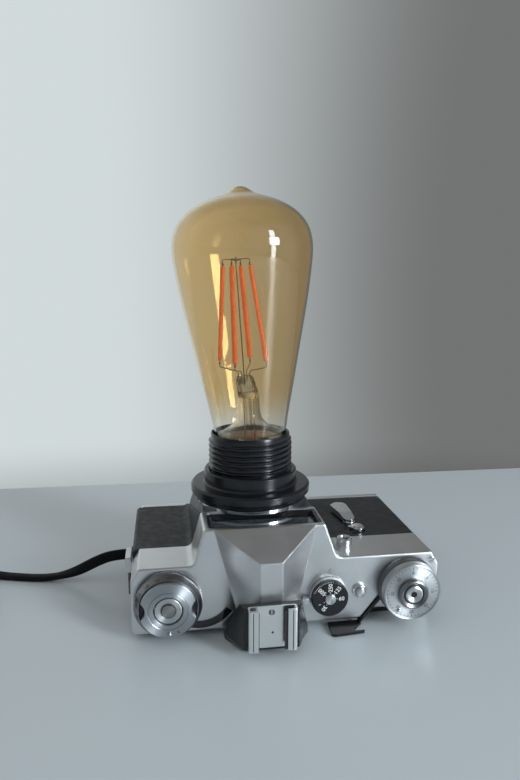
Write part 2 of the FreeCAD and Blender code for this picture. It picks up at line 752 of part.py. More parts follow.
def rewind_spindle():
    x, z = REWIND_AXIS
    spindle = stud(1.5, -16, 6.8, REWIND_AXIS)
    spindle = spindle.fuse(bar(3.4, -24.2, -22.0, x, z))
    spindle = spindle.fuse(block((x - 3.2, x + 3.2), (-24.2, -17.6), (z - 0.6, z + 0.6)))
    return spindle.cut(block((x - 1.7, x + 1.7), (-21.9, -17), (z - 2, z + 2)))


LEVER_GAP = 0.45
LEVER_SHEET = 1.1


def along_recess(distance, offset):
    """A point at a distance along the recess's sloping wall, set off from it into the recess."""
    foot, head = RECESS_FOOT, RECESS_HEAD
    length = math.dist(foot, head)
    u = ((head[0] - foot[0]) / length, (head[1] - foot[1]) / length)
    return foot[0] + u[0] * distance + u[1] * offset, foot[1] + u[1] * distance - u[0] * offset


def wind_arm():
    """The lever's arm, a sheet on edge beside the recess's sloping wall."""
    near, far = LEVER_GAP, LEVER_GAP + LEVER_SHEET
    places = [(-0.2, near), (-0.2, far), (15.4, far), (15.4, near)]
    return slab(sharp(*[along_recess(*place) for place in places]), "y", PLATE_Y - 1.0, PLATE_Y + 6.6)


def wind_lever():
    return milled(13.5, 0.35, 72, 0.3, 4.3, WIND_AXIS, bore=6.76).fuse(wind_arm())


def lever_tab():
    flag = [
        (29.9, -38.4, 0.8),
        (29.3, -49.0, 1.5),
        (39.2, -48.1, 0),
        (44.3, -47.6, 0.4),
        (44.6, -46.6, 0.3),
        (40.5, -47.0, 0.3),
        (39.9, -45.6, 0.6),
        (44.9, -40.2, 0),
        (44.9, -38.4, 0),
    ]
    return slab(flag, "z", 0.35, 1.5).cut(wind_arm())


def counter_dial():
    dial = on_cover(
        [(6.76, 4.4), (12.9, 4.4), (13.1, 4.7), (13.1, 7.6), (12.7, 8.3), (12.2, 8.3), (12.1, 8.0),
         (7.4, 8.0), (7.3, 8.2), (6.76, 8.2)],
        WIND_AXIS,
    )
    pin = (WIND_AXIS[0] - 6.0, WIND_AXIS[1] - 7.9)
    return dial.fuse(on_cover([(0, 7.9), (0.8, 7.9), (0.8, 8.6), (0.4, 9.0), (0, 9.0)], pin))


def release_collar():
    return on_cover(
        [(3.0, -4.5), (4.3, -4.5), (4.3, 0.0), (6.7, 0.0), (6.7, 9.7), (6.4, 10.4), (5.8, 10.7),
         (4.6, 10.0), (4.1, 8.2), (4.1, 5.0), (3.0, 5.0)],
        WIND_AXIS,
    )


def release_button():
    return on_cover(
        [(1.3, 6.0), (1.3, 9.9), (1.9, 10.1), (3.2, 10.5), (3.9, 10.2), (4.0, 9.9), (4.0, 8.2),
         (2.7, 8.2), (2.7, -2.0), (0, -2.0), (0, 6.0)],
        WIND_AXIS,
    )


def sync_ring():
    x, z = SPEED_AXIS
    ring = milled(8.3, 0.3, 48, 0.25, 2.2, SPEED_AXIS)
    arm = block((x - 10.6, x - 6), (PLATE_Y - 2.2, PLATE_Y - 0.25), (z - 3.0, z))
    lug = stud(1.7, 0.25, 3.2, (x - 10.2, z - 1.5))
    return ring.fuse(arm).fuse(lug).cut(stud(2.9, -1, 4, SPEED_AXIS))


def speed_dial():
    dial = milled(8.25, 0.25, 60, 2.45, 4.6, SPEED_AXIS)
    face = [(0, 4.5), (8.0, 4.5), (7.8, 4.95), (2.3, 4.95), (2.3, 5.3), (1.9, 5.7), (0, 5.7)]
    dial = dial.fuse(on_cover(face, SPEED_AXIS))
    return dial.fuse(stud(2.4, -3.5, 2.6, SPEED_AXIS))


def rewind_release_collar():
    return on_cover([(2.3, 0.0), (3.2, 0.0), (3.2, 1.1), (2.9, 1.5), (2.3, 1.5)], UNLOCK_AXIS)


def rewind_release_button():
    profile = [(0, -3.5), (1.5, -3.5), (1.5, 0.1), (2.2, 0.1), (2.2, 2.5), (1.8, 2.9), (0, 3.05)]
    return on_cover(profile, UNLOCK_AXIS)


# Self-timer on the front.

TIMER_PIVOT = (49.8, -1.2)
TIMER_BUTTON = (51.3, -10.6)


def timer_lever():
    x, y = TIMER_PIVOT
    low, high = FRONT_Z + 0.9, FRONT_Z + 3.6
    paddle = [
        (x - 2.6, y - 1.0, 1.6),
        (x + 1.2, y - 3.2, 2.0),
        (x + 2.9, y + 0.4, 1.2),
        (x + 3.1, y + 16.0, 1.2),
        (x + 2.6, y + 21.6, 1.2),
        (x - 1.2, y + 23.2, 1.6),
        (x - 5.4, y + 16.8, 1.2),
    ]
    lever = slab(paddle, "z", low, high)
    crest = [(y - 5, high - 1.7), (y + 6, high), (y + 17, high), (y + 26, high - 1.6)]
    ridge = sharp(*crest, (y + 26, low - 1), (y - 5, low - 1))
    lever = lever.common(slab(ridge, "x", x - 10, x + 10))
    return lever.fuse(post(1.7, FRONT_Z - 5, low + 0.1, x, y)).fuse(post(2.9, FRONT_Z - 0.9, low + 0.1, x, y))


def timer_button():
    x, y = TIMER_BUTTON
    button = turned(
        [(0, FRONT_Z - 4), (1.7, FRONT_Z - 4), (1.7, FRONT_Z + 0.3), (3.2, FRONT_Z + 0.3),
         (3.3, FRONT_Z + 1.6), (2.4, FRONT_Z + 2.5), (0, FRONT_Z + 2.7)],
        Vec(x, y, 0),
    )
    beak = [(x - 1.6, y + 2.2, 0), (x - 5.0, y + 0.2, 0.5), (x - 1.6, y - 2.2, 0), (x, y, 0)]
    return button.fuse(slab(beak, "z", FRONT_Z + 1.35, FRONT_Z + 2.1))


# Back door, its latch and what it covers.

HINGE = (78.7, 2.2)


def back_door():
    door = round_block((-54.2, 77.2), (-31.0, 35.3), (0.6, 2.9), 1.0, "y")
    pocket = block((-51.5, 74.5), (-28.5, 32.8), (1.5, 3.0))
    door = door.cut(pocket)
    x, z = HINGE
    for low, high in ((-24, -8), (10, 26)):
        knuckle = bar(1.55, low, high, x, z).fuse(block((76.0, x), (low, high), (0.8, 2.2)))
        door = door.fuse(knuckle)
    return door.cut(bar(0.85, -40, 40, x, z))


def hinge_pin():
    x, z = HINGE
    pin = bar(0.8, -29.5, 31.5, x, z)
    for low, high in ((-29.5, -24.4), (-7.6, 9.6), (26.4, 31.5)):
        pin = pin.fuse(bar(1.5, low, high, x, z)).fuse(block((x - 0.6, x + 1.2), (low, high), (z, 4.4)))
    return pin


def pressure_plate():
    plate = round_block((-24, 30), (-17.2, 17.2), (3.3, 4.3), 1.5, "z")
    for x in (-14, 20):
        plate = plate.fuse(block((x - 4, x + 4), (-3, 3), (1.5, 3.4)))
    return plate


LATCH_SPAN_Y = (-17.6, 4.0)
LATCH_TOP_Z = 26.4


def latch_guide():
    span = (LATCH_SPAN_Y[0], LATCH_SPAN_Y[0] + 12)
    guide = block((BODY_LEFT - 2.2, BODY_LEFT + CASTING_INSET), span, (21.2, LATCH_TOP_Z))
    rib = block((BODY_LEFT - 3.2, BODY_LEFT - 0.6), span, (21.2, 28.4))
    return guide.fuse(rib)


def door_latch():
    low, high = LATCH_SPAN_Y
    across = (BODY_LEFT - 2.2, BODY_LEFT - 1.3)
    bar_out = round_block(across, (low + 0.6, high - 4.4), (10.5, 20.7), 0.3, "z")
    foot = block((BODY_LEFT - 1.4, BODY_LEFT + 1.0), (low + 3, high - 6), (10.5, 12.7))
    return bar_out.fuse(foot)


def take_up_spool():
    x, z = SPOOL_AXIS
    spool = bar(5.6, -27.8, 30.8, x, z)
    for low, high in ((-27.8, -26.2), (29.2, 30.8)):
        spool = spool.fuse(bar(8.6, low, high, x, z))
    spool = spool.fuse(bar(1.5, -30.5, 33.5, x, z))
    return spool.cut(block((x - 0.8, x + 0.8), (-18, 18), (z - 7, z + 7)))


def sprocket_shaft():
    x, z = SPROCKET_AXIS
    shaft = bar(3.9, -23.0, 23.0, x, z).fuse(bar(1.2, -25.5, 25.5, x, z))
    for middle in (-16.2, 16.2):
        shaft = shaft.fuse(bar(5.0, middle - 1.6, middle + 1.6, x, z))
        for i in range(8):
            tooth = block((x + 4.6, x + 6.1), (middle - 0.7, middle + 0.7), (z - 0.7, z + 0.7))
            tooth.rotate(Vec(x, 0, z), Vec(0, 1, 0), 45 * i)
            shaft = shaft.fuse(tooth)
    return shaft


# Lampholder.


def thread_profile(radius, low, high, pitch, depth, flat=0.45):
    """Rings that stand for a thread's crests, as points on the outside from low to high."""
    points = []
    count = int((high - low) / pitch)
    for i in range(count):
        z = low + i * pitch
        points += [
            (radius - depth, z),
            (radius, z + pitch * 0.28),
            (radius, z + pitch * (0.28 + flat)),
            (radius - depth, z + pitch * (0.56 + flat)),
        ]
    return points


def lampholder_shell():
    outer = [(7.5, 30.0), (9.6, 30.0), (9.6, 35.0), (17.0, 44.0)]
    outer += [(17.0, FLANGE_FOOT_Z), (18.6, FLANGE_FOOT_Z)]
    outer += thread_profile(THREAD_R, 53.6, 81.0, THREAD_PITCH, 1.1, 0.3)
    outer += [(18.7, HOLDER_TOP_Z - 0.3), (18.5, HOLDER_TOP_Z)]
    inner = [(17.9, HOLDER_TOP_Z), (17.9, 77.0), (14.7, 77.0), (14.7, 48.0), (11.5, 43.5), (7.5, 38.5)]
    return turned(outer + inner)


def contact_block():
    body = turned([(0, 48.2), (14.5, 48.2), (14.5, 52.0), (6.4, 52.0), (6.4, 50.4), (0, 50.4)])
    for x in (-9.6, 9.6):
        body = body.cut(post(2.05, 47, 53, x))
    return body


def centre_contact():
    tongue = block((-2.4, 5.9), (-2.2, 2.2), (50.4, 50.95))
    return tongue.fuse(post(2.3, 50.9, 51.35))


def screw_shell():
    """The brass insert: a rolled thread, drawn as rings."""
    pitch, low = 3.63, 53.2
    wave = []
    for i in range(6):
        z = low + i * pitch
        wave += [(14.45, z), (14.0, z + pitch / 2)]
    wave.append((14.45, low + 6 * pitch))
    inside = [(r - 0.45, z) for r, z in wave[::-1]]
    return turned([(14.45, 52.1)] + wave + inside + [(11.0, 52.6), (11.0, 52.1)])


def terminal_screws():
    screws = []
    for x in (-9.6, 9.6):
        screw = post(2.0, 46.4, 51.2, x).fuse(post(3.0, 45.2, 46.6, x))
        screws.append(screw.cut(block((x - 4, x + 4), (-0.4, 0.4), (44, 45.9))))
    return Part.makeCompound(screws)


def shade_ring():
    inside = THREAD_R + 0.15
    ring = turned(
        [(inside, FLANGE_FOOT_Z), (FLANGE_R - 0.6, FLANGE_FOOT_Z), (FLANGE_R, FLANGE_FOOT_Z + 0.6),
         (FLANGE_R, FLANGE_TOP_Z - 0.9), (FLANGE_R - 0.9, FLANGE_TOP_Z), (COLLAR_R + 0.7, FLANGE_TOP_Z + 0.1),
         (COLLAR_R, FLANGE_TOP_Z + 0.9), (COLLAR_R, COLLAR_TOP_Z - 0.6), (COLLAR_R - 0.6, COLLAR_TOP_Z),
         (inside, COLLAR_TOP_Z)]
    )
    return ring


# Bulb. The glass sits a little crooked in its cap.

# Radius and height above the bulb's foot.
GLASS_PROFILE = [
    (16.2, 0.2),
    (17.7, 5.4),
    (18.6, 10.9),
    (21.9, 27.2),
    (25.1, 43.7),
    (28.3, 60.0),
    (29.9, 69.0),
    (31.1, 77.0),
    (31.9, 83.5),
    (32.1, 88.0),
    (31.7, 92.2),
    (30.4, 96.6),
    (28.2, 100.3),
    (24.7, 104.0),
    (20.2, 107.0),
    (15.4, 109.2),
    (10.8, 110.7),
    (7.0, 112.0),
    (4.4, 113.6),
    (2.4, 114.7),
    (0.0, 115.0),
]
GLASS_WALL = 0.9


def leaning(shape):
    shape.rotate(Vec(0, 0, BULB_FOOT_Z), Vec(0, 1, 0), -BULB_LEAN_DEG)
    return shape


def within(profile, depth):
    """The profile moved square to itself towards the axis, its last point kept on the axis."""
    moved = []
    for i, (r, z) in enumerate(profile):
        before = profile[max(i - 1, 0)]
        after = profile[min(i + 1, len(profile) - 1)]
        dr, dz = after[0] - before[0], after[1] - before[1]
        length = math.hypot(dr, dz)
        moved.append((r - depth * dz / length, z + depth * dr / length))
    moved[-1] = (0.0, profile[-1][1] - depth)
    return moved


def bulb_glass():
    glass = turned(GLASS_PROFILE + within(GLASS_PROFILE, GLASS_WALL)[::-1])
    glass.translate(Vec(0, 0, BULB_FOOT_Z))
    return leaning(glass)


def bulb_cap():
    pitch, low = 3.63, 54.2
    wave = []
    for i in range(6):
        z = low + i * pitch
        wave += [(12.5, z), (13.1, z + pitch / 2)]
    top = low + 6 * pitch
    outside = [(8.0, 52.7), (10.5, 53.6)] + wave
    outside += [(12.6, top), (13.4, top + 0.8), (15.6, BULB_FOOT_Z - 0.2)]
    inside = [(r - 0.5, z) for r, z in outside[::-1]]
    return turned(outside + [(15.0, BULB_FOOT_Z - 0.2)] + inside[1:] + [(7.5, 53.2)])


def cap_contact():
    return turned([(0, 51.5), (3.0, 51.5), (4.4, 52.2), (7.4, 52.5), (7.4, 54.6), (0, 54.6)])


FILAMENT_COUNT = 4
FILAMENT_FIRST_DEG = -24.6
FILAMENT_R = 1.1
# Radius, middle and height of the ring of the filaments' lower and upper ends.
FILAMENT_FOOT = (11.4, -2.0, 36.4)
FILAMENT_HEAD = (6.6, -3.1, 80.4)
PINCH = (-1.7, 29.5)


def rod(start, end, radius):
    reach = end - start
    return Part.makeCylinder(radius, reach.Length, start, reach)


def bulb_stem():
    profile = [(0, 1.6), (15.9, 1.6), (15.9, 2.2), (13.0, 2.6), (8.5, 6.0)]
    profile += [(5.3, 9.5), (4.9, 22.0), (0, 22.0)]
    stem = turned(profile)
    pinch = loft(
        [
            Part.Wire(Part.makeCircle(4.9, Vec(0, 0, 21.9), Vec(0, 0, 1))),
            Part.Wire(Part.makeCircle(2.6, Vec(PINCH[0] * 0.8, 0, PINCH[1]), Vec(0, 0, 1))),
        ]
    )
    stem = stem.fuse(pinch)
    stem.translate(Vec(0, 0, BULB_FOOT_Z))
    return leaning(stem)


def filaments():
    """The filaments, each on a wire from the stem's pinch, with their upper ends joined."""

    def ring(spot, i, rise=0.0):
        radius, middle, height = spot
        angle = math.radians(FILAMENT_FIRST_DEG + i * 360 / FILAMENT_COUNT)
        return Vec(middle + radius * math.cos(angle), radius * math.sin(angle), height + rise)

    frame = None
    for i in range(FILAMENT_COUNT):
        foot, head = ring(FILAMENT_FOOT, i), ring(FILAMENT_HEAD, i)
        knee = ring(FILAMENT_FOOT, i, -3.4)
        strip = rod(foot, head, FILAMENT_R)
        strip = strip.fuse(rod(knee, foot + Vec(0, 0, 0.5), 0.3))
        strip = strip.fuse(rod(Vec(PINCH[0], 0, PINCH[1] - 1.5), knee + Vec(0, 0, 0.2), 0.3))
        strip = strip.fuse(rod(head - Vec(0, 0, 0.5), ring(FILAMENT_HEAD, i, 2.0), 0.3))
        strip = strip.fuse(rod(ring(FILAMENT_HEAD, i, 1.8), ring(FILAMENT_HEAD, i + 1, 1.8), 0.3))
        frame = strip if frame is None else frame.fuse(strip)
    frame.translate(Vec(0, 0, BULB_FOOT_Z))
    return leaning(frame)


# Flex: its bushing, its free stretch, its coil and its plug.


def cord_bushing():
    profile = [(2.72, 3.0), (3.0, 3.0), (3.0, -0.1), (3.7, -0.1), (3.7, -1.4), (3.2, -2.5), (2.72, -2.5)]
    return turned(profile, Vec(BODY_LEFT, CORD_EXIT.y, CORD_EXIT.z), Vec(1, 0, 0))


def arcs_between(start, start_way, end, end_way):
    """Two arcs that join two points and leave and meet them along the given directions."""
    chord = end - start
    ways = start_way + end_way
    bend = 2 * (1 - start_way.dot(end_way))
    along = chord.dot(ways)
    if bend < 1e-9:
        reach = chord.dot(chord) / (2 * along)
    else:
        reach = (-along + math.sqrt(along * along + bend * chord.dot(chord))) / bend
    joint = (start + end + (start_way - end_way) * reach) * 0.5
    return [
        arc_through(start, start + start_way * reach, joint),
        arc_through(joint, end - end_way * reach, end),
    ]


def arc_through(start, corner, end):
    """The arc from start to end whose end tangents meet at the corner."""
    middle = (start + end) * 0.5
    cosine = (end - start).Length / 2 / (corner - start).Length
    if cosine > 1 - 1e-9:
        return Part.LineSegment(start, end).toShape()
    crown = middle + (corner - middle) * (cosine / (1 + cosine))
    return Part.Arc(start, crown, end).toShape()


def route_edges(points, name):
    """Straight runs through the points, joined by arcs as large as the runs allow."""
    edges = []
    last = points[0]
    radii = []
    for before, here, after in zip(points, points[1:], points[2:]):
        arriving, leaving = here - before, after - here
        turn = arriving.getAngle(leaving)
        reach = 0.45 * min(arriving.Length, leaving.Length)
        radii.append(reach / math.tan(turn / 2))
        start = here - arriving.normalize() * reach
        end = here + leaving.normalize() * reach
        edges.append(Part.LineSegment(last, start).toShape())
        edges.append(arc_through(start, here, end))
        last = end
    edges.append(Part.LineSegment(last, points[-1]).toShape())
    print(name, "bend radii", [round(r, 1) for r in radii])
    return edges


def tube(edges, diameter, name):
    """A round tube along the edges, with its volume set against section times length."""
    path = Part.Wire(edges)
    start = edges[0].valueAt(edges[0].FirstParameter)
    way = edges[0].tangentAt(edges[0].FirstParameter)
    section = Part.Wire(Part.makeCircle(diameter / 2, start, way))
    solid = path.makePipeShell([section], True, False)
    expected = math.pi * diameter**2 / 4 * path.Length
    print(name, "length", round(path.Length, 1), "volume ratio", round(solid.Volume / expected, 4))
    return solid


LEAD_POINTS = [
    CORD_EXIT,
    Vec(-67.1, 14.0, 16.4),
    Vec(-75.4, 16.0, 13.0),
    Vec(-87.5, 21.0, 5.6),
    Vec(-102.0, 23.4, 2.78),
    Vec(-121.0, 28.2, 2.72),
    Vec(-147.0, 35.6, 2.74),
]


def coil_place(turns):
    """Where the coil's centre line is after so many turns, counted from its outer end."""
    outer_r = COIL_INNER_R + COIL_TURNS * COIL_STEP
    low_z = CORD_D / 2 + 0.02
    reverse = 0.5
    if turns <= COIL_TURNS:
        radius, z = outer_r - turns * COIL_STEP, low_z
    elif turns <= COIL_TURNS + reverse:
        part = (turns - COIL_TURNS) / reverse
        radius = COIL_INNER_R - COIL_DIP * math.sin(math.pi * part)
        z = low_z + COIL_STEP * part
    else:
        radius = COIL_INNER_R + (turns - COIL_TURNS - reverse) * COIL_STEP
        z = low_z + COIL_STEP
    angle = math.pi / 2 + 2 * math.pi * turns
    return COIL_MIDDLE + Vec(radius * math.cos(angle), radius * math.sin(angle), z)


def coil_way(turns):
    step = 0.002
    ahead = coil_place(turns + step) - coil_place(max(turns - step, 0))
    return Vec(ahead.x, ahead.y, 0).normalize()


COIL_END = 2 * COIL_TURNS + 0.5
PLUG_LEAD = 12.0
PLUG_CENTRE_X = COIL_MIDDLE.x - 67.0
PLUG_TOP_Y = COIL_MIDDLE.y + 22.0
PLUG_Z = 6.86


def coil_edges():
    count = int(round(COIL_END * 4))
    turns = [i / 4 for i in range(count + 1)]
    spots = [coil_place(t) for t in turns]
    ways = [coil_way(t) for t in turns]
    ways[0] = Vec(-1, 0, 0)
    edges = [Part.LineSegment(spots[0] + Vec(CORD_D, 0, 0), spots[0]).toShape()]
    for i in range(count):
        edges += arcs_between(spots[i], ways[i], spots[i + 1], ways[i + 1])
    end = Vec(PLUG_CENTRE_X, PLUG_TOP_Y + CORD_D, PLUG_Z)
    edges += arcs_between(spots[-1], ways[-1], end, Vec(0, -1, 0))
    edges.append(Part.LineSegment(end, end + Vec(0, -CORD_D, 0)).toShape())
    return edges


def least_gap(edges, diameter):
    """The least clear space between stretches of a path that are more than two diameters apart along it."""
    path = Part.Wire(edges)
    spots = path.discretize(Distance=2.0)
    step = path.Length / (len(spots) - 1)
    skip = int(2.5 * diameter / step) + 1
    least = 1e9
    for i, a in enumerate(spots):
        for b in spots[i + skip:]:
            gap = math.dist(a, b)
            if gap < least:
                least = gap
    return least - diameter


def plug_body():
    face_y = PLUG_TOP_Y - PLUG_LEAD - 35.0
    neck_y = PLUG_TOP_Y - PLUG_LEAD

    def section(half_width, half_height, y, radius):
        corners = [
            (PLUG_CENTRE_X - half_width, PLUG_Z - half_height, radius),
            (PLUG_CENTRE_X + half_width, PLUG_Z - half_height, radius),
            (PLUG_CENTRE_X + half_width, PLUG_Z + half_height, radius),
            (PLUG_CENTRE_X - half_width, PLUG_Z + half_height, radius),
        ]
        return wire(corners, "y", y)

    body = loft(
        [
            section(17.6, 6.84, face_y, 6.0),
            section(17.6, 6.84, face_y + 12, 6.0),
            section(9.0, 6.0, face_y + 27, 5.0),
            section(6.2, 5.2, neck_y, 4.6),
        ]
    )
    relief = loft([section(4.6, 4.4, neck_y - 0.5, 3.8), section(3.4, 3.4, PLUG_TOP_Y, 3.2)])
    return body.fuse(relief).cut(bar(CORD_D / 2, PLUG_TOP_Y - 0.01, PLUG_TOP_Y + 1, PLUG_CENTRE_X, PLUG_Z))


def plug_pins():
    face_y = PLUG_TOP_Y - PLUG_LEAD - 35.0
    pins = []
    for side in (-1, 1):
        x = PLUG_CENTRE_X + side * 9.3
        pin = bar(2.0, face_y - 19.0, face_y, x, PLUG_Z)
        tip = [e for e in pin.Edges if abs(e.BoundBox.YMax - (face_y - 19.0)) < 1e-6]
        pins.append(pin.makeFillet(1.2, tip))
    return Part.makeCompound(pins)


def cord_lead():
    start = coil_place(0) + Vec(CORD_D, 0, 0)
    points = LEAD_POINTS + [start]
    return tube(route_edges(points, "cord_lead"), CORD_D, "cord_lead")


def cord_coil():
    edges = coil_edges()
    print("cord_coil least gap", round(least_gap(edges, CORD_D), 2))
    return tube(edges, CORD_D, "cord_coil")


def inner_lead():
    points = [
        Vec(0.0, 0.0, 36.0),
        Vec(0.0, 0.6, 27.0),
        Vec(-6.0, 5.6, 18.6),
        Vec(-15.0, 13.2, 16.6),
        Vec(-30.0, CORD_EXIT.y, CORD_EXIT.z),
        CORD_EXIT,
    ]
    return tube(route_edges(points, "inner_lead"), INNER_LEAD_D, "inner_lead")


NODES = {
    "top_cover": top_cover,
    "cover_screw": cover_screw,
    "body_casting": body_casting,
    "shutter_crate": shutter_crate,
    "mirror_housing": mirror_housing,
    "leatherette_left": lambda: leatherette(-1),
    "leatherette_right": lambda: leatherette(1),
    "base_cover": base_cover,
    "tripod_bush": tripod_bush,
    "mount_ring": mount_ring,
    "adapter_disc": adapter_disc,
    "meter_frame": meter_frame,
    "meter_glass": meter_glass,
    "needle_window": needle_window,
    "sync_socket": sync_socket,
    "eyepiece_frame": eyepiece_frame,
    "eyepiece_glass": eyepiece_glass,
    "shoe_bracket": shoe_bracket,
    "accessory_shoe": accessory_shoe,
    "shoe_screws": shoe_screws,
    "meter_ring": meter_ring,
    "meter_disc": meter_disc,
    "rewind_knob": rewind_knob,
    "rewind_spindle": rewind_spindle,
    "wind_lever": wind_lever,
    "lever_tab": lever_tab,
    "counter_dial": counter_dial,
    "release_collar": release_collar,
    "release_button": release_button,
    "sync_ring": sync_ring,
    "speed_dial": speed_dial,
    "rewind_release_collar": rewind_release_collar,
    "rewind_release_button": rewind_release_button,
    "timer_lever": timer_lever,
    "timer_button": timer_button,
    "back_door": back_door,
    "hinge_pin": hinge_pin,
    "pressure_plate": pressure_plate,
    "latch_guide": latch_guide,
    "door_latch": door_latch,
    "take_up_spool": take_up_spool,
    "sprocket_shaft": sprocket_shaft,
    "lampholder_shell": lampholder_shell,
    "contact_block": contact_block,
    "centre_contact": centre_contact,
    "screw_shell": screw_shell,
    "terminal_screws": terminal_screws,
    "shade_ring": shade_ring,
    "bulb_glass": bulb_glass,
    "bulb_cap": bulb_cap,
    "cap_contact": cap_contact,
    "bulb_stem": bulb_stem,
    "filaments": filaments,
    "cord_bushing": cord_bushing,
    "inner_lead": inner_lead,
    "cord_lead": cord_lead,
    "cord_coil": cord_coil,
    "plug_body": plug_body,
    "plug_pins": plug_pins,
}

ON_THE_CORD = ("cord_lead", "cord_coil", "plug_body", "plug_pins")

whole = FreeCAD.BoundBox()
for name, make in NODES.items():
    shape = make()
    shape.translate(Vec(-MIDDLE_X, -MIDDLE_Y, 0))
    if name not in ON_THE_CORD:
        whole.add(shape.optimalBoundingBox(False, False))
    state = "ok" if shape.isValid() and shape.Volume > 0 else "BAD"
    print(name, state, "solids", len(shape.Solids), "volume", round(shape.Volume, 1))
    shape.exportStep(f"parts/{name}.step")
print("without the cord: X", round(whole.XMin, 2), round(whole.XMax, 2))
print("Y", round(whole.YMin, 2), round(whole.YMax, 2), "Z", round(whole.ZMin, 2), round(whole.ZMax, 2))
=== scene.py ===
"""Looks of the camera lamp: materials, flex, bulb, thread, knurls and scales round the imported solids."""

import json
import math

import bmesh
import bpy
from mathutils import Matrix, Vector

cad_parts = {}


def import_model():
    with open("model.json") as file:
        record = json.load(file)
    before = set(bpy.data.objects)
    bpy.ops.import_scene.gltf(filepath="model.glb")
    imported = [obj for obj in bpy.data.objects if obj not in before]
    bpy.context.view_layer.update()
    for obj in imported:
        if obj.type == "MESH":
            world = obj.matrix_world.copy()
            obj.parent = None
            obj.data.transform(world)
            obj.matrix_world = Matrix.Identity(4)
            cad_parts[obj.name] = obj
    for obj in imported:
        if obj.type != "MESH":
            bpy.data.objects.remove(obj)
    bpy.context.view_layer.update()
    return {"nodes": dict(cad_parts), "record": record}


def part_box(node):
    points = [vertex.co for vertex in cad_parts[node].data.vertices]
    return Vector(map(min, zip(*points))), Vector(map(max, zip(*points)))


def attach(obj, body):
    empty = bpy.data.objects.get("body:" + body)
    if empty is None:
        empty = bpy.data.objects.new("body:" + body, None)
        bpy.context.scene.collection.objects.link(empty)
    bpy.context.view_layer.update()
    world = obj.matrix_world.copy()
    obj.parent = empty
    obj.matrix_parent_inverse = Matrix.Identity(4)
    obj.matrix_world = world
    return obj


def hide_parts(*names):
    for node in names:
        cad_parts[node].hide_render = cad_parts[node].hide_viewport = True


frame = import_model()
nodes = frame["nodes"]

MM = 0.001


def middle(node):
    low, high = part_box(node)
    return (low + high) / 2


LENS = middle("mount_ring")
PLATE_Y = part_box("rewind_release_collar")[1].y
OUT_OF_PLATE = Matrix(((1, 0, 0, 0), (0, 0, -1, 0), (0, 1, 0, 0), (0, 0, 0, 1)))


def lens(x, y, z):
    """A point given in millimetres from the lens axis and the table."""
    return Vector((LENS.x + x * MM, LENS.y + y * MM, z * MM))


def lens_frame():
    """Local X and Y square to the lens axis, Z up it from the table, in millimetres."""
    return Matrix.Translation((LENS.x, LENS.y, 0)) @ Matrix.Scale(MM, 4)


def plate_frame(x, z):
    """Local X to the right, Y up and Z out of the top cover's plate, in millimetres."""
    return Matrix.Translation((x, PLATE_Y, z)) @ OUT_OF_PLATE @ Matrix.Scale(MM, 4)


def dial_frame(node):
    """The plate's frame at the middle of a dial."""
    centre = middle(node)
    return plate_frame(centre.x, centre.z)


def clamped(value):
    return min(1.0, max(0.0, value))


def eased(share):
    return share * share * (3 - 2 * share)


# Node trees and materials.

MIX_FIRST = 6
MIX_SECOND = 7
MIX_RESULT = 2
NOISE_ROUGHNESS = 0.55
SMOOTHEST = 0.02
BEVEL_SAMPLES = 4
LATHE_TURN = 0.25


class Nodes:
    """A node tree, with short ways to add to it."""

    def __init__(self, tree):
        self.tree = tree

    def node(self, kind, **settings):
        made = self.tree.nodes.new(kind)
        for name, value in settings.items():
            setattr(made, name, value)
        return made

    def set(self, node, values):
        for socket, value in values.items():
            node.inputs[socket].default_value = value

    def link(self, source, target):
        self.tree.links.new(source, target)

    def ranged(self, value, low, high, start=0.3, end=0.7, interpolation_type="LINEAR"):
        """From low to high, while a value goes from start to end."""
        made = self.node("ShaderNodeMapRange", interpolation_type=interpolation_type)
        self.set(made, {"From Min": start, "From Max": end, "To Min": low, "To Max": high})
        self.link(value, made.inputs["Value"])
        return made.outputs["Result"]

    def mixed(self, share, first, second, blend_type="MIX"):
        """A colour between two, each a triple or another node's colour."""
        mix = self.node("ShaderNodeMix", data_type="RGBA", blend_type=blend_type)
        for name, value in (("Factor", share), (MIX_FIRST, first), (MIX_SECOND, second)):
            if isinstance(value, bpy.types.NodeSocket):
                self.link(value, mix.inputs[name])
            elif isinstance(value, float):
                mix.inputs[name].default_value = value
            else:
                mix.inputs[name].default_value = (*value, 1)
        return mix.outputs[MIX_RESULT]


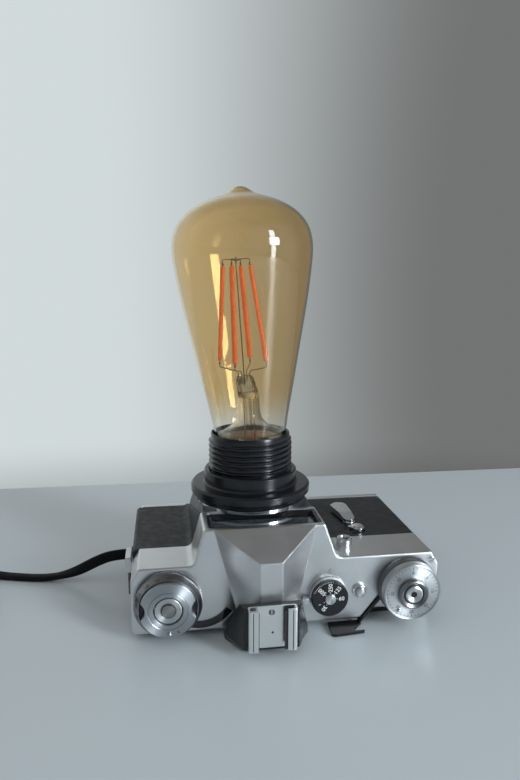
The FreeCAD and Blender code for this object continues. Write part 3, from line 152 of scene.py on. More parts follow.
class Shader(Nodes):
    """A Principled material with its procedural inputs."""

    def __init__(self, name, colour, roughness, metallic=0.0, sockets=None):
        self.material = bpy.data.materials.new(name)
        self.material.use_nodes = True
        super().__init__(self.material.node_tree)
        principled = self.tree.nodes["Principled BSDF"]
        self.set(principled, {"Base Color": (*colour, 1), "Roughness": roughness, "Metallic": metallic})
        self.set(principled, sockets or {})
        self.inputs = principled.inputs
        self.colour = colour
        self.roughness = roughness
        self.position = self.node("ShaderNodeTexCoord").outputs["Object"]
        self.normal = None

    def scaled(self, scale):
        """Object coordinates in patterns per metre, alike or along each axis."""
        mapping = self.node("ShaderNodeMapping")
        mapping.inputs["Scale"].default_value = scale if hasattr(scale, "__len__") else (scale,) * 3
        self.link(self.position, mapping.inputs["Vector"])
        return mapping.outputs["Vector"]

    def noise(self, scale, detail=3.0):
        made = self.node("ShaderNodeTexNoise")
        self.set(made, {"Scale": 1.0, "Detail": detail, "Roughness": NOISE_ROUGHNESS})
        self.link(self.scaled(scale), made.inputs["Vector"])
        return made.outputs["Fac"]

    def cells(self, scale):
        made = self.node("ShaderNodeTexVoronoi")
        self.set(made, {"Scale": 1.0})
        self.link(self.scaled(scale), made.inputs["Vector"])
        return made.outputs["Distance"]

    def shaded(self, pattern, darker, lighter):
        """The material's own colour, made darker and lighter by a pattern."""
        first = tuple(c * darker for c in self.colour)
        second = tuple(min(1.0, c * lighter) for c in self.colour)
        share = self.ranged(pattern, 0.0, 1.0)
        self.link(self.mixed(share, first, second), self.inputs["Base Color"])
        return self

    def worn(self, pattern, spread):
        """The material's own roughness, moved down and up by a pattern."""
        low, high = max(SMOOTHEST, self.roughness - spread), self.roughness + spread
        self.link(self.ranged(pattern, low, high), self.inputs["Roughness"])
        return self

    def mottle(self, scale, darker, lighter):
        """Slow changes of colour over the surface."""
        return self.shaded(self.noise(scale), darker, lighter)

    def polish(self, scale, spread):
        """Worn and dull places."""
        return self.worn(self.noise(scale, 4.0), spread)

    def rounded(self, radius):
        """Softens the shading of sharp edges over a radius in millimetres."""
        bevel = self.node("ShaderNodeBevel", samples=BEVEL_SAMPLES)
        bevel.inputs["Radius"].default_value = radius * MM
        self.normal = bevel.outputs["Normal"]
        self.link(self.normal, self.inputs["Normal"])
        return self

    def bumped(self, height, depth, strength):
        """Relief of the given depth in millimetres."""
        bump = self.node("ShaderNodeBump")
        self.set(bump, {"Strength": strength, "Distance": depth * MM})
        self.link(height, bump.inputs["Height"])
        if self.normal is not None:
            self.link(self.normal, bump.inputs["Normal"])
        self.normal = bump.outputs["Normal"]
        self.link(self.normal, self.inputs["Normal"])
        return self

    def grain(self, scale, detail, depth, strength):
        """Relief from noise."""
        return self.bumped(self.noise(scale, detail), depth, strength)

    def from_middle(self):
        """How far a point is from the piece's own axis along Y, as a share of its width."""
        place = self.node("ShaderNodeTexCoord").outputs["Generated"]
        for operation, vector in (("SUBTRACT", (0.5, 0.5, 0.5)), ("MULTIPLY", (1, 0, 1))):
            step = self.node("ShaderNodeVectorMath", operation=operation)
            step.inputs[1].default_value = vector
            self.link(place, step.inputs[0])
            place = step.outputs["Vector"]
        length = self.node("ShaderNodeVectorMath", operation="LENGTH")
        self.link(place, length.inputs[0])
        return length.outputs["Value"]

    def grooves(self, rings, spread, darker, lighter):
        """Fine rings about the piece's axis, in roughness and in colour."""
        noise = self.node("ShaderNodeTexNoise", noise_dimensions="1D")
        self.set(noise, {"Scale": rings, "Detail": 2.0, "Roughness": 0.7})
        self.link(self.from_middle(), noise.inputs["W"])
        return self.worn(noise.outputs["Fac"], spread).shaded(noise.outputs["Fac"], darker, lighter)

    def turned_face(self, amount):
        """Radial gloss of a face that was turned on a lathe, its axis along Y."""
        tangent = self.node("ShaderNodeTangent", direction_type="RADIAL", axis="Y")
        self.inputs["Anisotropic"].default_value = amount
        self.inputs["Anisotropic Rotation"].default_value = LATHE_TURN
        self.link(tangent.outputs["Tangent"], self.inputs["Tangent"])
        return self


def satin_chrome():
    made = Shader("satin_chrome", (0.72, 0.72, 0.72), 0.34, 1.0).rounded(0.8)
    return made.mottle(60, 0.95, 1.03).polish(90, 0.04).grain(3000, 2.0, 0.005, 0.12).material


def bright_chrome():
    made = Shader("bright_chrome", (0.78, 0.79, 0.80), 0.16, 1.0).rounded(0.25)
    return made.mottle(140, 0.9, 1.05).polish(200, 0.06).grain(2500, 2.0, 0.006, 0.3).material


def shoe_metal():
    made = Shader("shoe_metal", (0.88, 0.88, 0.87), 0.24, 1.0)
    return made.mottle((60, 60, 200), 0.96, 1.02).polish(90, 0.03).grain(700, 2.0, 0.004, 0.1).material


def grey_casting():
    made = Shader("grey_casting", (0.10, 0.105, 0.11), 0.5, 0.6)
    return made.mottle(150, 0.8, 1.15).polish(400, 0.1).grain(1500, 4.0, 0.05, 0.6).material


def black_leatherette():
    made = Shader("black_leatherette", (0.014, 0.0145, 0.016), 0.5, sockets={"Specular IOR Level": 0.36})
    made.rounded(0.5).mottle((500, 500, 60), 0.8, 1.3).polish((300, 300, 50), 0.08)
    pores = made.ranged(made.cells(1500), 0.0, 1.0, 0.0, 0.8)
    return made.bumped(pores, 0.07, 0.35).grain(500, 4.0, 0.05, 0.4).material


def black_lacquer():
    made = Shader("black_lacquer", (0.007, 0.0075, 0.009), 0.24).rounded(0.25)
    return made.mottle(200, 0.8, 1.6).polish(250, 0.08).grain(900, 3.0, 0.02, 0.3).material


def black_plastic():
    made = Shader("black_plastic", (0.006, 0.0065, 0.008), 0.22, sockets={"Specular IOR Level": 0.42})
    made.rounded(0.25).mottle(180, 0.8, 1.5).polish((220, 220, 500), 0.05)
    return made.grain(1200, 3.0, 0.015, 0.3).material


def black_glass():
    made = Shader("black_glass", (0.006, 0.007, 0.009), 0.06, sockets={"Coat Weight": 0.6})
    return made.mottle(300, 0.8, 1.4).polish(300, 0.03).material


def window_glass():
    coat = {"Coat Weight": 0.8, "Coat Roughness": 0.03}
    made = Shader("window_glass", (0.045, 0.052, 0.06), 0.05, sockets=coat)
    return made.mottle((90, 90, 400), 0.6, 1.6).polish(150, 0.03).material


def dark_steel():
    made = Shader("dark_steel", (0.20, 0.19, 0.18), 0.38, 1.0).rounded(0.15)
    return made.mottle(500, 0.6, 1.3).polish(600, 0.1).grain(2500, 3.0, 0.02, 0.4).material


def brass():
    made = Shader("brass", (0.60, 0.42, 0.16), 0.3, 1.0)
    return made.mottle(300, 0.8, 1.1).polish(400, 0.08).grain(2500, 2.0, 0.01, 0.3).material


def nickel():
    made = Shader("nickel", (0.70, 0.66, 0.58), 0.22, 1.0)
    return made.mottle(300, 0.85, 1.05).polish(400, 0.06).grain(2500, 2.0, 0.01, 0.3).material


def black_rubber():
    made = Shader("black_rubber", (0.005, 0.005, 0.006), 0.55, sockets={"Specular IOR Level": 0.12})
    return made.mottle(120, 0.8, 1.4).polish(300, 0.08).grain(2600, 3.0, 0.02, 0.4).material


def phosphor():
    # The faint emission is a painted glow: the strips give off light though the bulb is not lit.
    painted_glow = {"Emission Color": (0.9, 0.22, 0.06, 1), "Emission Strength": 0.25}
    made = Shader("phosphor", (0.86, 0.20, 0.045), 0.45, sockets=painted_glow)
    return made.mottle(900, 0.85, 1.15).polish(500, 0.08).grain(4000, 2.0, 0.02, 0.4).material


BULB_FOOT_Z = 79.0
TINT_FROM_Z = BULB_FOOT_Z + 3
TINT_FULL_Z = BULB_FOOT_Z + 22
AMBER = (0.90, 0.735, 0.48)
CLEAR = (0.97, 0.96, 0.93)


def amber_glass():
    """Clear glass at the bulb's neck, tinted from there upwards."""
    made = Shader("amber_glass", AMBER, 0.0, sockets={"Transmission Weight": 1.0, "IOR": 1.45})
    height = made.node("ShaderNodeSeparateXYZ")
    made.link(made.position, height.inputs["Vector"])
    coat = made.ranged(height.outputs["Z"], 0.0, 1.0, TINT_FROM_Z * MM, TINT_FULL_Z * MM)
    deeper = tuple(c * 0.985 for c in AMBER)
    tint = made.mixed(made.ranged(made.noise(60, 2.0), 0.0, 1.0), deeper, AMBER)
    made.link(made.mixed(coat, CLEAR, tint), made.inputs["Base Color"])
    made.link(made.ranged(made.noise(120, 2.0), 0.0, 0.03), made.inputs["Roughness"])
    return made.material


def clear_glass():
    sockets = {"Transmission Weight": 1.0, "IOR": 1.5}
    made = Shader("clear_glass", (0.97, 0.95, 0.90), 0.02, sockets=sockets)
    return made.mottle(200, 0.96, 1.0).polish(300, 0.02).material


def turned_chrome(name, colour, roughness, amount):
    made = Shader(name, colour, roughness, 1.0).turned_face(amount)
    return made.grooves(240, 0.05, 0.90, 1.06).material


def painted(name, colour):
    made = Shader(name, colour, 0.45)
    return made.mottle(900, 0.85, 1.1).polish(600, 0.08).grain(3000, 2.0, 0.01, 0.3).material


def dress(node, material):
    for place in nodes[node].material_slots:
        place.material = material


MATERIALS = {
    slot.__name__: slot()
    for slot in (
        satin_chrome, bright_chrome, grey_casting, black_leatherette, black_lacquer, black_plastic,
        black_glass, window_glass, dark_steel, brass, nickel, black_rubber, phosphor, amber_glass,
        clear_glass,
    )
}
# This chrome has a dark base colour: painted shade on the milled rings, the wind hub and the release collar.
SHADED_RING_METAL = turned_chrome("shaded_ring_metal", (0.25, 0.25, 0.26), 0.30, 0.2)
KNOB_METAL = turned_chrome("knob_metal", (0.62, 0.63, 0.63), 0.34, 0.8)
DIAL_METAL = turned_chrome("dial_metal", (0.60, 0.61, 0.62), 0.40, 0.85)
DISC_METAL = turned_chrome("disc_metal", (0.50, 0.52, 0.54), 0.40, 0.92)
DARK_PAINT = painted("dark_paint", (0.03, 0.03, 0.032))
WHITE_PAINT = painted("white_paint", (0.78, 0.80, 0.80))
SHOE_METAL = shoe_metal()
WIRE_METAL = turned_chrome("wire_metal", (0.30, 0.22, 0.14), 0.35, 0.0)

for subpart in frame["record"]["subparts"]:
    dress(subpart["node"], MATERIALS[subpart["material_slot"]])
dress("release_collar", SHADED_RING_METAL)
dress("release_button", KNOB_METAL)
dress("rewind_release_button", KNOB_METAL)
dress("door_latch", MATERIALS["dark_steel"])


# Pieces and their meshes.

WELD = 1e-7


def mesh_from(name, points, faces):
    mesh = bpy.data.meshes.new(name)
    mesh.from_pydata([tuple(p) for p in points], [], faces)
    mesh.validate()
    shape = bmesh.new()
    shape.from_mesh(mesh)
    bmesh.ops.remove_doubles(shape, verts=shape.verts, dist=WELD)
    bmesh.ops.recalc_face_normals(shape, faces=shape.faces)
    shape.to_mesh(mesh)
    shape.free()
    return mesh


def piece(name, mesh, body, slot, material=None):
    """A new smooth object that rides on a body, in its slot's material unless another is given."""
    made = bpy.data.objects.new(name, mesh)
    bpy.context.scene.collection.objects.link(made)
    mesh.materials.append(material or MATERIALS[slot])
    for face in mesh.polygons:
        face.use_smooth = True
    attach(made, body)
    return made


def joined(parts):
    """Points and faces of several parts as one."""
    points, faces = [], []
    for part_points, part_faces in parts:
        start = len(points)
        points += part_points
        faces += [tuple(start + i for i in face) for face in part_faces]
    return points, faces


def moved(part, matrix):
    points, faces = part
    return [matrix @ Vector(p) for p in points], faces


def made_of(name, parts, matrix, body, slot, material=None, sharp=30):
    """A piece from parts in a local frame, smooth but for edges sharper than so many degrees."""
    mesh = mesh_from(name, *moved(joined(parts), matrix))
    made = piece(name, mesh, body, slot, material)
    mesh.set_sharp_from_angle(angle=math.radians(sharp))
    return made


# Lines and lofts.

WIRE_SIDES = 8


def taken_from(curve):
    """The points and faces of a curve, which isn't kept."""
    carrier = bpy.data.objects.new(curve.name, curve)
    mesh = bpy.data.meshes.new_from_object(carrier)
    part = [v.co.copy() for v in mesh.vertices], [tuple(face.vertices) for face in mesh.polygons]
    bpy.data.objects.remove(carrier)
    bpy.data.curves.remove(curve)
    bpy.data.meshes.remove(mesh)
    return part


def spline_points(points):
    """Points along the NURBS spline of the control points."""
    curve = bpy.data.curves.new("route", "CURVE")
    curve.dimensions = "3D"
    curve.resolution_u = 6
    spline = curve.splines.new("NURBS")
    spline.points.add(len(points) - 1)
    for place, point in zip(spline.points, points):
        place.co = (*point, 1)
    spline.order_u = 3
    spline.use_endpoint_u = True
    return taken_from(curve)[0]


def smooth_line(points, steps):
    """A smooth line through the points, in so many steps from one to the next."""
    line = []
    for i in range(len(points) - 1):
        before, start = points[max(i - 1, 0)], points[i]
        end, after = points[i + 1], points[min(i + 2, len(points) - 1)]
        for step in range(steps):
            t = step / steps
            line.append(
                0.5 * (2 * start + (end - before) * t + (2 * before - 5 * start + 4 * end - after) * t * t
                       + (3 * start - before - 3 * end + after) * t ** 3)
            )
    return line + [points[-1]]


def folded(points, radius, steps=5):
    """A line with its corners rounded."""
    line = [points[0]]
    for before, corner, after in zip(points, points[1:], points[2:]):
        start = corner + (before - corner).normalized() * radius
        end = corner + (after - corner).normalized() * radius
        for i in range(steps + 1):
            share = i / steps
            line.append(start.lerp(corner, share).lerp(corner.lerp(end, share), share))
    return line + [points[-1]]


def heading(line, i):
    """The direction of a line at its point i."""
    return (line[min(i + 1, len(line) - 1)] - line[max(i - 1, 0)]).normalized()


def angles_round(count):
    return [2 * math.pi * i / count for i in range(count)]


def ring(radii, height):
    """Points round Z at one height, one for each radius."""
    return [
        Vector((radius * math.cos(angle), radius * math.sin(angle), height))
        for radius, angle in zip(radii, angles_round(len(radii)))
    ]


def hoop(centre, side, over, radius):
    """A wire's circle about a centre, through side and over."""
    return [centre + (side * math.cos(a) + over * math.sin(a)) * radius for a in angles_round(WIRE_SIDES)]


def lofted(rings, closed=False):
    """Faces between rings of equal length. A closed loft joins the last ring to the first."""
    count = len(rings[0])
    spans = len(rings) if closed else len(rings) - 1
    points = [p for points_round in rings for p in points_round]
    faces = [
        (a * count + j, a * count + (j + 1) % count, b * count + (j + 1) % count, b * count + j)
        for a, b in ((i, (i + 1) % len(rings)) for i in range(spans))
        for j in range(count)
    ]
    if not closed:
        faces.append(tuple(range(count))[::-1])
        faces.append(tuple((len(rings) - 1) * count + j for j in range(count)))
    return points, faces


def turned(profile, segments, ridges=0):
    """A closed profile of (radius, height[, depth of the ridges]) turned about Z."""
    rings = []
    for radius, height, *depth in profile:
        cut = depth[0] if depth else 0.0
        radii = [radius - cut * (0.5 - 0.5 * math.cos(ridges * angle)) for angle in angles_round(segments)]
        rings.append(ring([max(r, 0.0) for r in radii], height))
    return lofted(rings, closed=True)


def rod(start, end, radius):
    """A round bar whose ends are a little rounded."""
    along = (end - start).normalized()
    side = along.orthogonal().normalized()
    over = along.cross(side)
    inset = along * (radius * 0.5)
    stops = ((start, 0.6), (start + inset, 1.0), (end - inset, 1.0), (end, 0.6))
    return lofted([hoop(centre, side, over, radius * share) for centre, share in stops])


def bent_wire(points, radius):
    """A round wire through points, smooth round its bends."""
    line = smooth_line([Vector(p) for p in points], 5)
    rings = []
    side = (line[1] - line[0]).orthogonal().normalized()
    for i, point in enumerate(line):
        along = heading(line, i)
        side = (side - along * side.dot(along)).normalized()
        rings.append(hoop(point, side, along.cross(side), radius))
    return lofted(rings)


# Plates, figures and marks.

DIGIT_SHARE = 0.7
DIGIT_BOLDER = 0.012
PAINT_THICK = 0.05


def plate(outline, low, high, bevel=0.2):
    """An outline in local X and Y from one height to another, with rounded edges."""
    shape = bmesh.new()
    rings = [[shape.verts.new((x, y, z)) for x, y in outline] for z in (low, high)]
    count = len(outline)
    shape.faces.new(rings[0][::-1])
    shape.faces.new(rings[1])
    for j in range(count):
        k = (j + 1) % count
        shape.faces.new((rings[0][j], rings[0][k], rings[1][k], rings[1][j]))
    if bevel:
        edges = list(shape.edges)
        bmesh.ops.bevel(
            shape, geom=edges, offset=bevel, segments=2, profile=0.5, affect="EDGES", clamp_overlap=True
        )
    shape.verts.index_update()
    part = [v.co.copy() for v in shape.verts], [tuple(v.index for v in f.verts) for f in shape.faces]
    shape.free()
    return part


def rectangle(x_low, x_high, y_low, y_high):
    return [(x_low, y_low), (x_high, y_low), (x_high, y_high), (x_low, y_high)]


def mark(length, width):
    """A short painted line along X."""
    outline = rectangle(-length / 2, length / 2, -width / 2, width / 2)
    return plate(outline, -PAINT_THICK, PAINT_THICK, bevel=0)


def figure(text, height):
    """A plain painted number about its own middle, its digits of the given height."""
    curve = bpy.data.curves.new("figure", "FONT")
    curve.body = text
    curve.size = height / DIGIT_SHARE
    curve.extrude = PAINT_THICK
    curve.offset = DIGIT_BOLDER
    curve.resolution_u = 3
    corners, faces = taken_from(curve)
    centre = Vector([(min(c[i] for c in corners) + max(c[i] for c in corners)) / 2 for i in range(3)])
    return [c - centre for c in corners], faces


def on_dial(radius, angle, height, turn=0.0, slope=0.0):
    """A place on a dial face: X runs outwards from the middle, turned by turn, tilted by slope."""
    return (
        Matrix.Rotation(math.radians(angle), 4, "Z")
        @ Matrix.Translation((radius, 0, height))
        @ Matrix.Rotation(math.radians(slope), 4, "Y")
        @ Matrix.Rotation(math.radians(turn), 4, "Z")
    )


def ring_of_marks(angles, outer, inner, width, height):
    line = mark(outer - inner, width)
    return [moved(line, on_dial((outer + inner) / 2, angle, height)) for angle in angles]


# The flex, from the body to its plug.

FLEX_THICK = 2.7
EXIT = (-58.9, 14.0, 16.4)
FLAT_Z = 1.42
LEAD = [
    EXIT,
    (-67.1, 14.0, 16.4),
    (-75.4, 16.0, 13.0),
    (-87.5, 21.0, 5.0),
    (-102.0, 23.4, FLAT_Z),
    (-121.0, 28.2, FLAT_Z),
    (-147.0, 35.6, 2.6),
    (-166.6, 35.725, 2.72),
]
COIL_MIDDLE = (-172.0, -8.0)
COIL_INNER_R = 21.6
COIL_STEP = 5.9
COIL_LAYER_TURNS = 3.75
COIL_TURNS = 8.0
COIL_DIP = 1.2
COIL_LOW_Z = 2.72
COIL_HIGH_Z = 8.62
POINTS_PER_TURN = 16
PLUG_END = [(-215.0, 26.5, 7.9), (-239.0, 19.4, 6.86), (-239.0, 14.0, 6.86)]

# Where the flex turns from its edge to its flat side and back, in metres along it.
LIES_DOWN_FROM = 0.018
LIES_DOWN_OVER = 0.025
STANDS_UP_BY = 0.098
STANDS_UP_OVER = 0.03


def coil_place(turns):
    """Where the coil's centre line is after so many turns, counted from its outer end."""
    climb = clamped((turns - COIL_LAYER_TURNS) / (COIL_TURNS - 2 * COIL_LAYER_TURNS))
    if climb <= 0:
        radius = COIL_INNER_R + COIL_STEP * COIL_LAYER_TURNS - COIL_STEP * turns
    elif climb < 1:
        radius = COIL_INNER_R - COIL_DIP * math.sin(math.pi * climb)
    else:
        radius = COIL_INNER_R + COIL_STEP * (turns - COIL_TURNS + COIL_LAYER_TURNS)
    height = COIL_LOW_Z + (COIL_HIGH_Z - COIL_LOW_Z) * climb
    angle = math.radians(90 + 360 * turns)
    return COIL_MIDDLE[0] + radius * math.cos(angle), COIL_MIDDLE[1] + radius * math.sin(angle), height


def flat_share(distance):
    """How far the flex lies flat, 0 on edge and 1 flat, at a distance from the body in metres."""
    start = clamped((distance - LIES_DOWN_FROM) / LIES_DOWN_OVER)
    end = clamped((STANDS_UP_BY - distance) / STANDS_UP_OVER)
    return eased(min(start, end))


def flex_section():
    """Two round cores side by side: points about the centre, the long way first."""
    core = FLEX_THICK / 2
    points = []
    for side in (1, -1):
        for step in range(11):
            angle = math.radians(-80 + 16 * step)
            reach = core * 0.97 + core * math.cos(angle) * 1.03
            points.append((side * reach, side * core * math.sin(angle)))
    return points


def flex_tube(line):
    """The flex along its line, with its long way turned from upright to flat and back."""
    up = Vector((0, 0, 1))
    section = flex_section()
    rings, travelled = [], 0.0
    for i, point in enumerate(line):
        if i:
            travelled += (point - line[i - 1]).length
        along = heading(line, i)
        side = along.cross(up).normalized()
        over = side.cross(along).normalized()
        turn = flat_share(travelled) * math.pi / 2
        wide = over * math.cos(turn) + side * math.sin(turn)
        thin = side * math.cos(turn) - over * math.sin(turn)
        rings.append([point + (wide * a + thin * b) * MM for a, b in section])
    return lofted(rings)


def flex():
    turns = [i / POINTS_PER_TURN for i in range(1, int(COIL_TURNS * POINTS_PER_TURN) + 1)]
    route = LEAD + [coil_place(t) for t in turns] + PLUG_END
    line = spline_points([lens(*p) for p in route])
    made = piece("flex", mesh_from("flex", *flex_tube(line)), "camera", "black_rubber")
    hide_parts("cord_lead", "cord_coil")


# The bulb: its glass, the stem inside, the strips and their wires.

BULB_LEAN = math.radians(-2.35)
GLASS_PROFILE = [
    (16.2, 0.2), (17.7, 5.4), (18.6, 10.9), (21.9, 27.2), (25.1, 43.7), (28.3, 60.0), (29.9, 69.0),
    (31.1, 77.0), (31.9, 83.5), (32.1, 88.0), (31.7, 92.2), (30.4, 96.6), (28.2, 100.3), (24.7, 104.0),
    (20.2, 107.0), (15.4, 109.2), (10.8, 110.7), (7.0, 112.0), (4.4, 113.6), (2.4, 114.7), (0.0, 115.0),
]
GLASS_WALL = 0.9
FLARE_PROFILE = [(15.9, 1.6), (15.6, 2.4), (13.0, 3.0), (8.5, 6.0), (6.0, 9.0), (5.3, 12.0), (5.0, 20.0)]
# The stem's pinched end: height, half width, half thickness and how far its middle is off the axis.
PINCHED = [
    (19.5, 5.0, 5.0, 0.0), (22.0, 4.9, 4.2, -0.3), (25.0, 4.6, 2.6, -0.9), (28.0, 4.3, 2.0, -1.4),
    (29.3, 3.6, 1.7, -1.6), (29.9, 2.2, 1.0, -1.7),
]
PINCH = Vector((-1.7, 0, 29.5))
STRIPS = [-24.6, 65.4, 155.4, 245.4]
STRIP_FOOT = (11.4, -2.0, 36.4)
STRIP_HEAD = (6.6, -3.1, 80.4)
STRIP_HALF_WIDTH = 1.2
STRIP_HALF_THICK = 1.0
POST_R = 0.3
TAB_R = 0.45
LOW_WIRE_R = 0.22
HIGH_WIRE_R = 0.2
LEAD_R = 0.28


def bulb_frame():
    return lens_frame() @ Matrix.Translation((0, 0, BULB_FOOT_Z)) @ Matrix.Rotation(BULB_LEAN, 4, "Y")


def bulb_glass():
    outside = smooth_line([Vector((r, 0, z)) for r, z in GLASS_PROFILE], 4)
    inside = []
    for i, point in enumerate(outside):
        along = heading(outside, i)
        inside.append(point + Vector((-along.z, 0, along.x)) * GLASS_WALL)
    inside[-1] = outside[-1] - Vector((0, 0, GLASS_WALL))
    profile = [(p.x, p.z) for p in outside] + [(max(p.x, 0.0), p.z) for p in inside[::-1]]
    made = made_of("bulb_envelope", [turned(profile, 128)], bulb_frame(), "bulb", "amber_glass", sharp=60)
    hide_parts("bulb_glass")


def bulb_stem():
    inside = [(r - GLASS_WALL, z) for r, z in FLARE_PROFILE[::-1]]
    rings = []
    for z, wide, thin, x in PINCHED:
        rings.append([Vector((x + wide * math.cos(a), thin * math.sin(a), z)) for a in angles_round(32)])
    tube = turned([(1.7, 2.4), (1.7, 19.0), (0.9, 19.0), (0.9, 2.4)], 24)
    stem = [turned(FLARE_PROFILE + inside, 64), lofted(rings), tube]
    made = made_of("bulb_stem_glass", stem, bulb_frame(), "bulb", "clear_glass", sharp=50)
    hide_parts("bulb_stem")


def strip_end(place, angle):
    radius, x, z = place
    turn = math.radians(angle)
    return Vector((x + radius * math.cos(turn), radius * math.sin(turn), z))


def filament_strip(angle):
    """A flat strip with a thick rounded coat, its broad side outwards."""
    foot, head = strip_end(STRIP_FOOT, angle), strip_end(STRIP_HEAD, angle)
    along = (head - foot).normalized()
    turn = math.radians(angle)
    side = Vector((-math.sin(turn), math.cos(turn), 0))
    side = (side - along * side.dot(along)).normalized()
    over = along.cross(side)
    rings = []
    for share, size in (
        (0, 0.5), (0.012, 0.9), (0.03, 1.0), (0.35, 1.0), (0.65, 1.0), (0.97, 1.0), (0.988, 0.9), (1, 0.5)
    ):
        centre = foot.lerp(head, share)
        rings.append([
            centre + (side * math.cos(a) * STRIP_HALF_WIDTH + over * math.sin(a) * STRIP_HALF_THICK) * size
            for a in angles_round(20)
        ])
    return lofted(rings)


def filament_wires():
    """The wires from the pinch to the strips, the post in the middle and the hooks at its top."""

    def up(distance):
        return Vector((0, 0, distance))

    crown = Vector((STRIP_HEAD[1], 0, STRIP_HEAD[2] + 2.2))
    parts = [bent_wire([PINCH - up(4), PINCH + up(1), crown - up(3), crown], POST_R)]
    for angle in STRIPS:
        foot, head = strip_end(STRIP_FOOT, angle), strip_end(STRIP_HEAD, angle)
        along = (head - foot).normalized()
        parts.append(rod(foot - along * 1.6, foot, TAB_R))
        parts.append(rod(head, head + along * 1.5, TAB_R))
        low = foot + up(-2.6)
        turn = math.radians(angle)
        root = PINCH + Vector((math.cos(turn) * 3.2, math.sin(turn) * 0.9, -2.5))
        rise = root + up(4.4)
        parts.append(bent_wire([root, rise, rise.lerp(low, 0.5), low, foot + up(-0.8)], LOW_WIRE_R))
        top = head + up(2.6)
        out = (head - crown).normalized()
        hook = [head + up(0.8), top - out * 0.2, top.lerp(crown, 0.5) + up(0.5), crown]
        parts.append(bent_wire(hook, HIGH_WIRE_R))
    return parts


def bulb_inside():
    strips = [filament_strip(angle) for angle in STRIPS]
    made = made_of("filament_strips", strips, bulb_frame(), "bulb", "phosphor", sharp=60)
    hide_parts("filaments")
    made_of("filament_wires", filament_wires(), bulb_frame(), "bulb", "nickel", WIRE_METAL, sharp=60)
    leads = []
    for side in (-1, 1):
        route = [(side * 2.4, 0, -8), (side * 2.3, 0, 8), (side * 2.5, 0, 20), (side * 2.7 - 1.4, 0, 27)]
        leads.append(bent_wire(route, LEAD_R))
    made_of("stem_leads", leads, bulb_frame(), "bulb", "brass", sharp=60)


# The lampholder's shell with its real thread.

THREAD_R = 19.9
THREAD_PITCH = 2.5
THREAD_DEPTH = 1.1
THREAD_LOW_Z = 53.6
THREAD_HIGH_Z = 79.2
THREAD_RUN_IN = 0.6
THREAD_RUN_OUT = 0.9
CREST_TOP = 1.35
CREST_FALL = 4.6
RINGS_PER_PITCH = 10
SHELL_SIDES = 120
SHELL_BELOW_THREAD = [
    (7.5, 30.0), (9.3, 30.0), (9.6, 30.3), (9.6, 35.0), (16.8, 43.8), (17.0, 44.3), (17.0, 53.0),
    (18.6, 53.0), (18.8, 53.2),
]
SHELL_RIM_AND_INSIDE = [
    (18.8, 79.6), (18.8, 81.0), (18.6, 81.4), (18.3, 81.5), (18.1, 81.4), (17.8, 81.0), (16.9, 77.2),
    (16.7, 77.0), (14.9, 77.0), (14.7, 76.8), (14.7, 48.0), (11.5, 43.5), (7.5, 38.5),
]


def thread_radius(angle, z):
    """The radius of a right-handed thread, which fades out at both ends."""
    phase = (z / THREAD_PITCH - angle / (2 * math.pi)) % 1.0
    crest = eased(clamped(CREST_TOP - abs(phase - 0.5) * CREST_FALL))
    fade = clamped((THREAD_HIGH_Z - z) / THREAD_RUN_OUT) * clamped((z - THREAD_LOW_Z) / THREAD_RUN_IN)
    return THREAD_R - THREAD_DEPTH * (1 - crest * fade)


def lampholder_shell():
    rings = [ring([r] * SHELL_SIDES, z) for r, z in SHELL_BELOW_THREAD]
    steps = int((THREAD_HIGH_Z - THREAD_LOW_Z) / (THREAD_PITCH / RINGS_PER_PITCH))
    for step in range(steps + 1):
        z = THREAD_LOW_Z + (THREAD_HIGH_Z - THREAD_LOW_Z) * step / steps
        rings.append(ring([thread_radius(angle, z) for angle in angles_round(SHELL_SIDES)], z))
    rings += [ring([r] * SHELL_SIDES, z) for r, z in SHELL_RIM_AND_INSIDE]
    shell = [lofted(rings, closed=True)]
    made = made_of("holder_shell", shell, lens_frame(), "camera", "black_plastic", sharp=40)
    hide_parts("lampholder_shell")


# The accessory shoe, in the lens frame.

SHOE_LEFT = -9.0
SHOE_RIGHT = 11.1
SHOE_LOW_Z = 4.7
SHOE_HIGH_Z = 22.8
SHOE_FLOOR_Y = -58.62
SHOE_TOP_Y = -62.9
SHOE_SHEET = 0.7
SHOE_LIP = 4.0
SHOE_FOLD_OUTSIDE = 1.1
SHOE_FOLD_INSIDE = 0.5
SHOE_EDGE = 0.15
SHOE_EDGE_DROP = 0.12
CREASE_X = 1.9
CREASE = [(0.18, 0), (0.16, 0.45), (-0.16, 0.45), (-0.18, 0)]


def flat_points(outline):
    return [Vector((x, y, 0)) for x, y in outline]


def shoe_loop():
    """The shoe's section: one sheet folded up and over at both sides, each lip with a crease."""
    left, right = SHOE_LEFT + SHOE_SHEET, SHOE_RIGHT - SHOE_SHEET
    left_lip, right_lip = SHOE_LEFT + SHOE_LIP, SHOE_RIGHT - SHOE_LIP
    under_lip, floor = SHOE_TOP_Y + SHOE_SHEET, SHOE_FLOOR_Y - SHOE_SHEET
    outer = [
        (left_lip, SHOE_TOP_Y), (SHOE_LEFT, SHOE_TOP_Y), (SHOE_LEFT, SHOE_FLOOR_Y),
        (SHOE_RIGHT, SHOE_FLOOR_Y), (SHOE_RIGHT, SHOE_TOP_Y), (right_lip, SHOE_TOP_Y),
    ]
    inner = [
        (left_lip, under_lip), (left, under_lip), (left, floor), (right, floor), (right, under_lip),
        (right_lip, under_lip),
    ]
    outer = folded(flat_points(outer), SHOE_FOLD_OUTSIDE)
    inner = folded(flat_points(inner), SHOE_FOLD_INSIDE)
    left_crease = flat_points([(SHOE_LEFT + CREASE_X + x, SHOE_TOP_Y + y) for x, y in CREASE])
    right_crease = flat_points([(SHOE_RIGHT - CREASE_X + x, SHOE_TOP_Y + y) for x, y in CREASE])
    return outer[:1] + left_crease + outer[1:-1] + right_crease + outer[-1:] + inner[::-1]


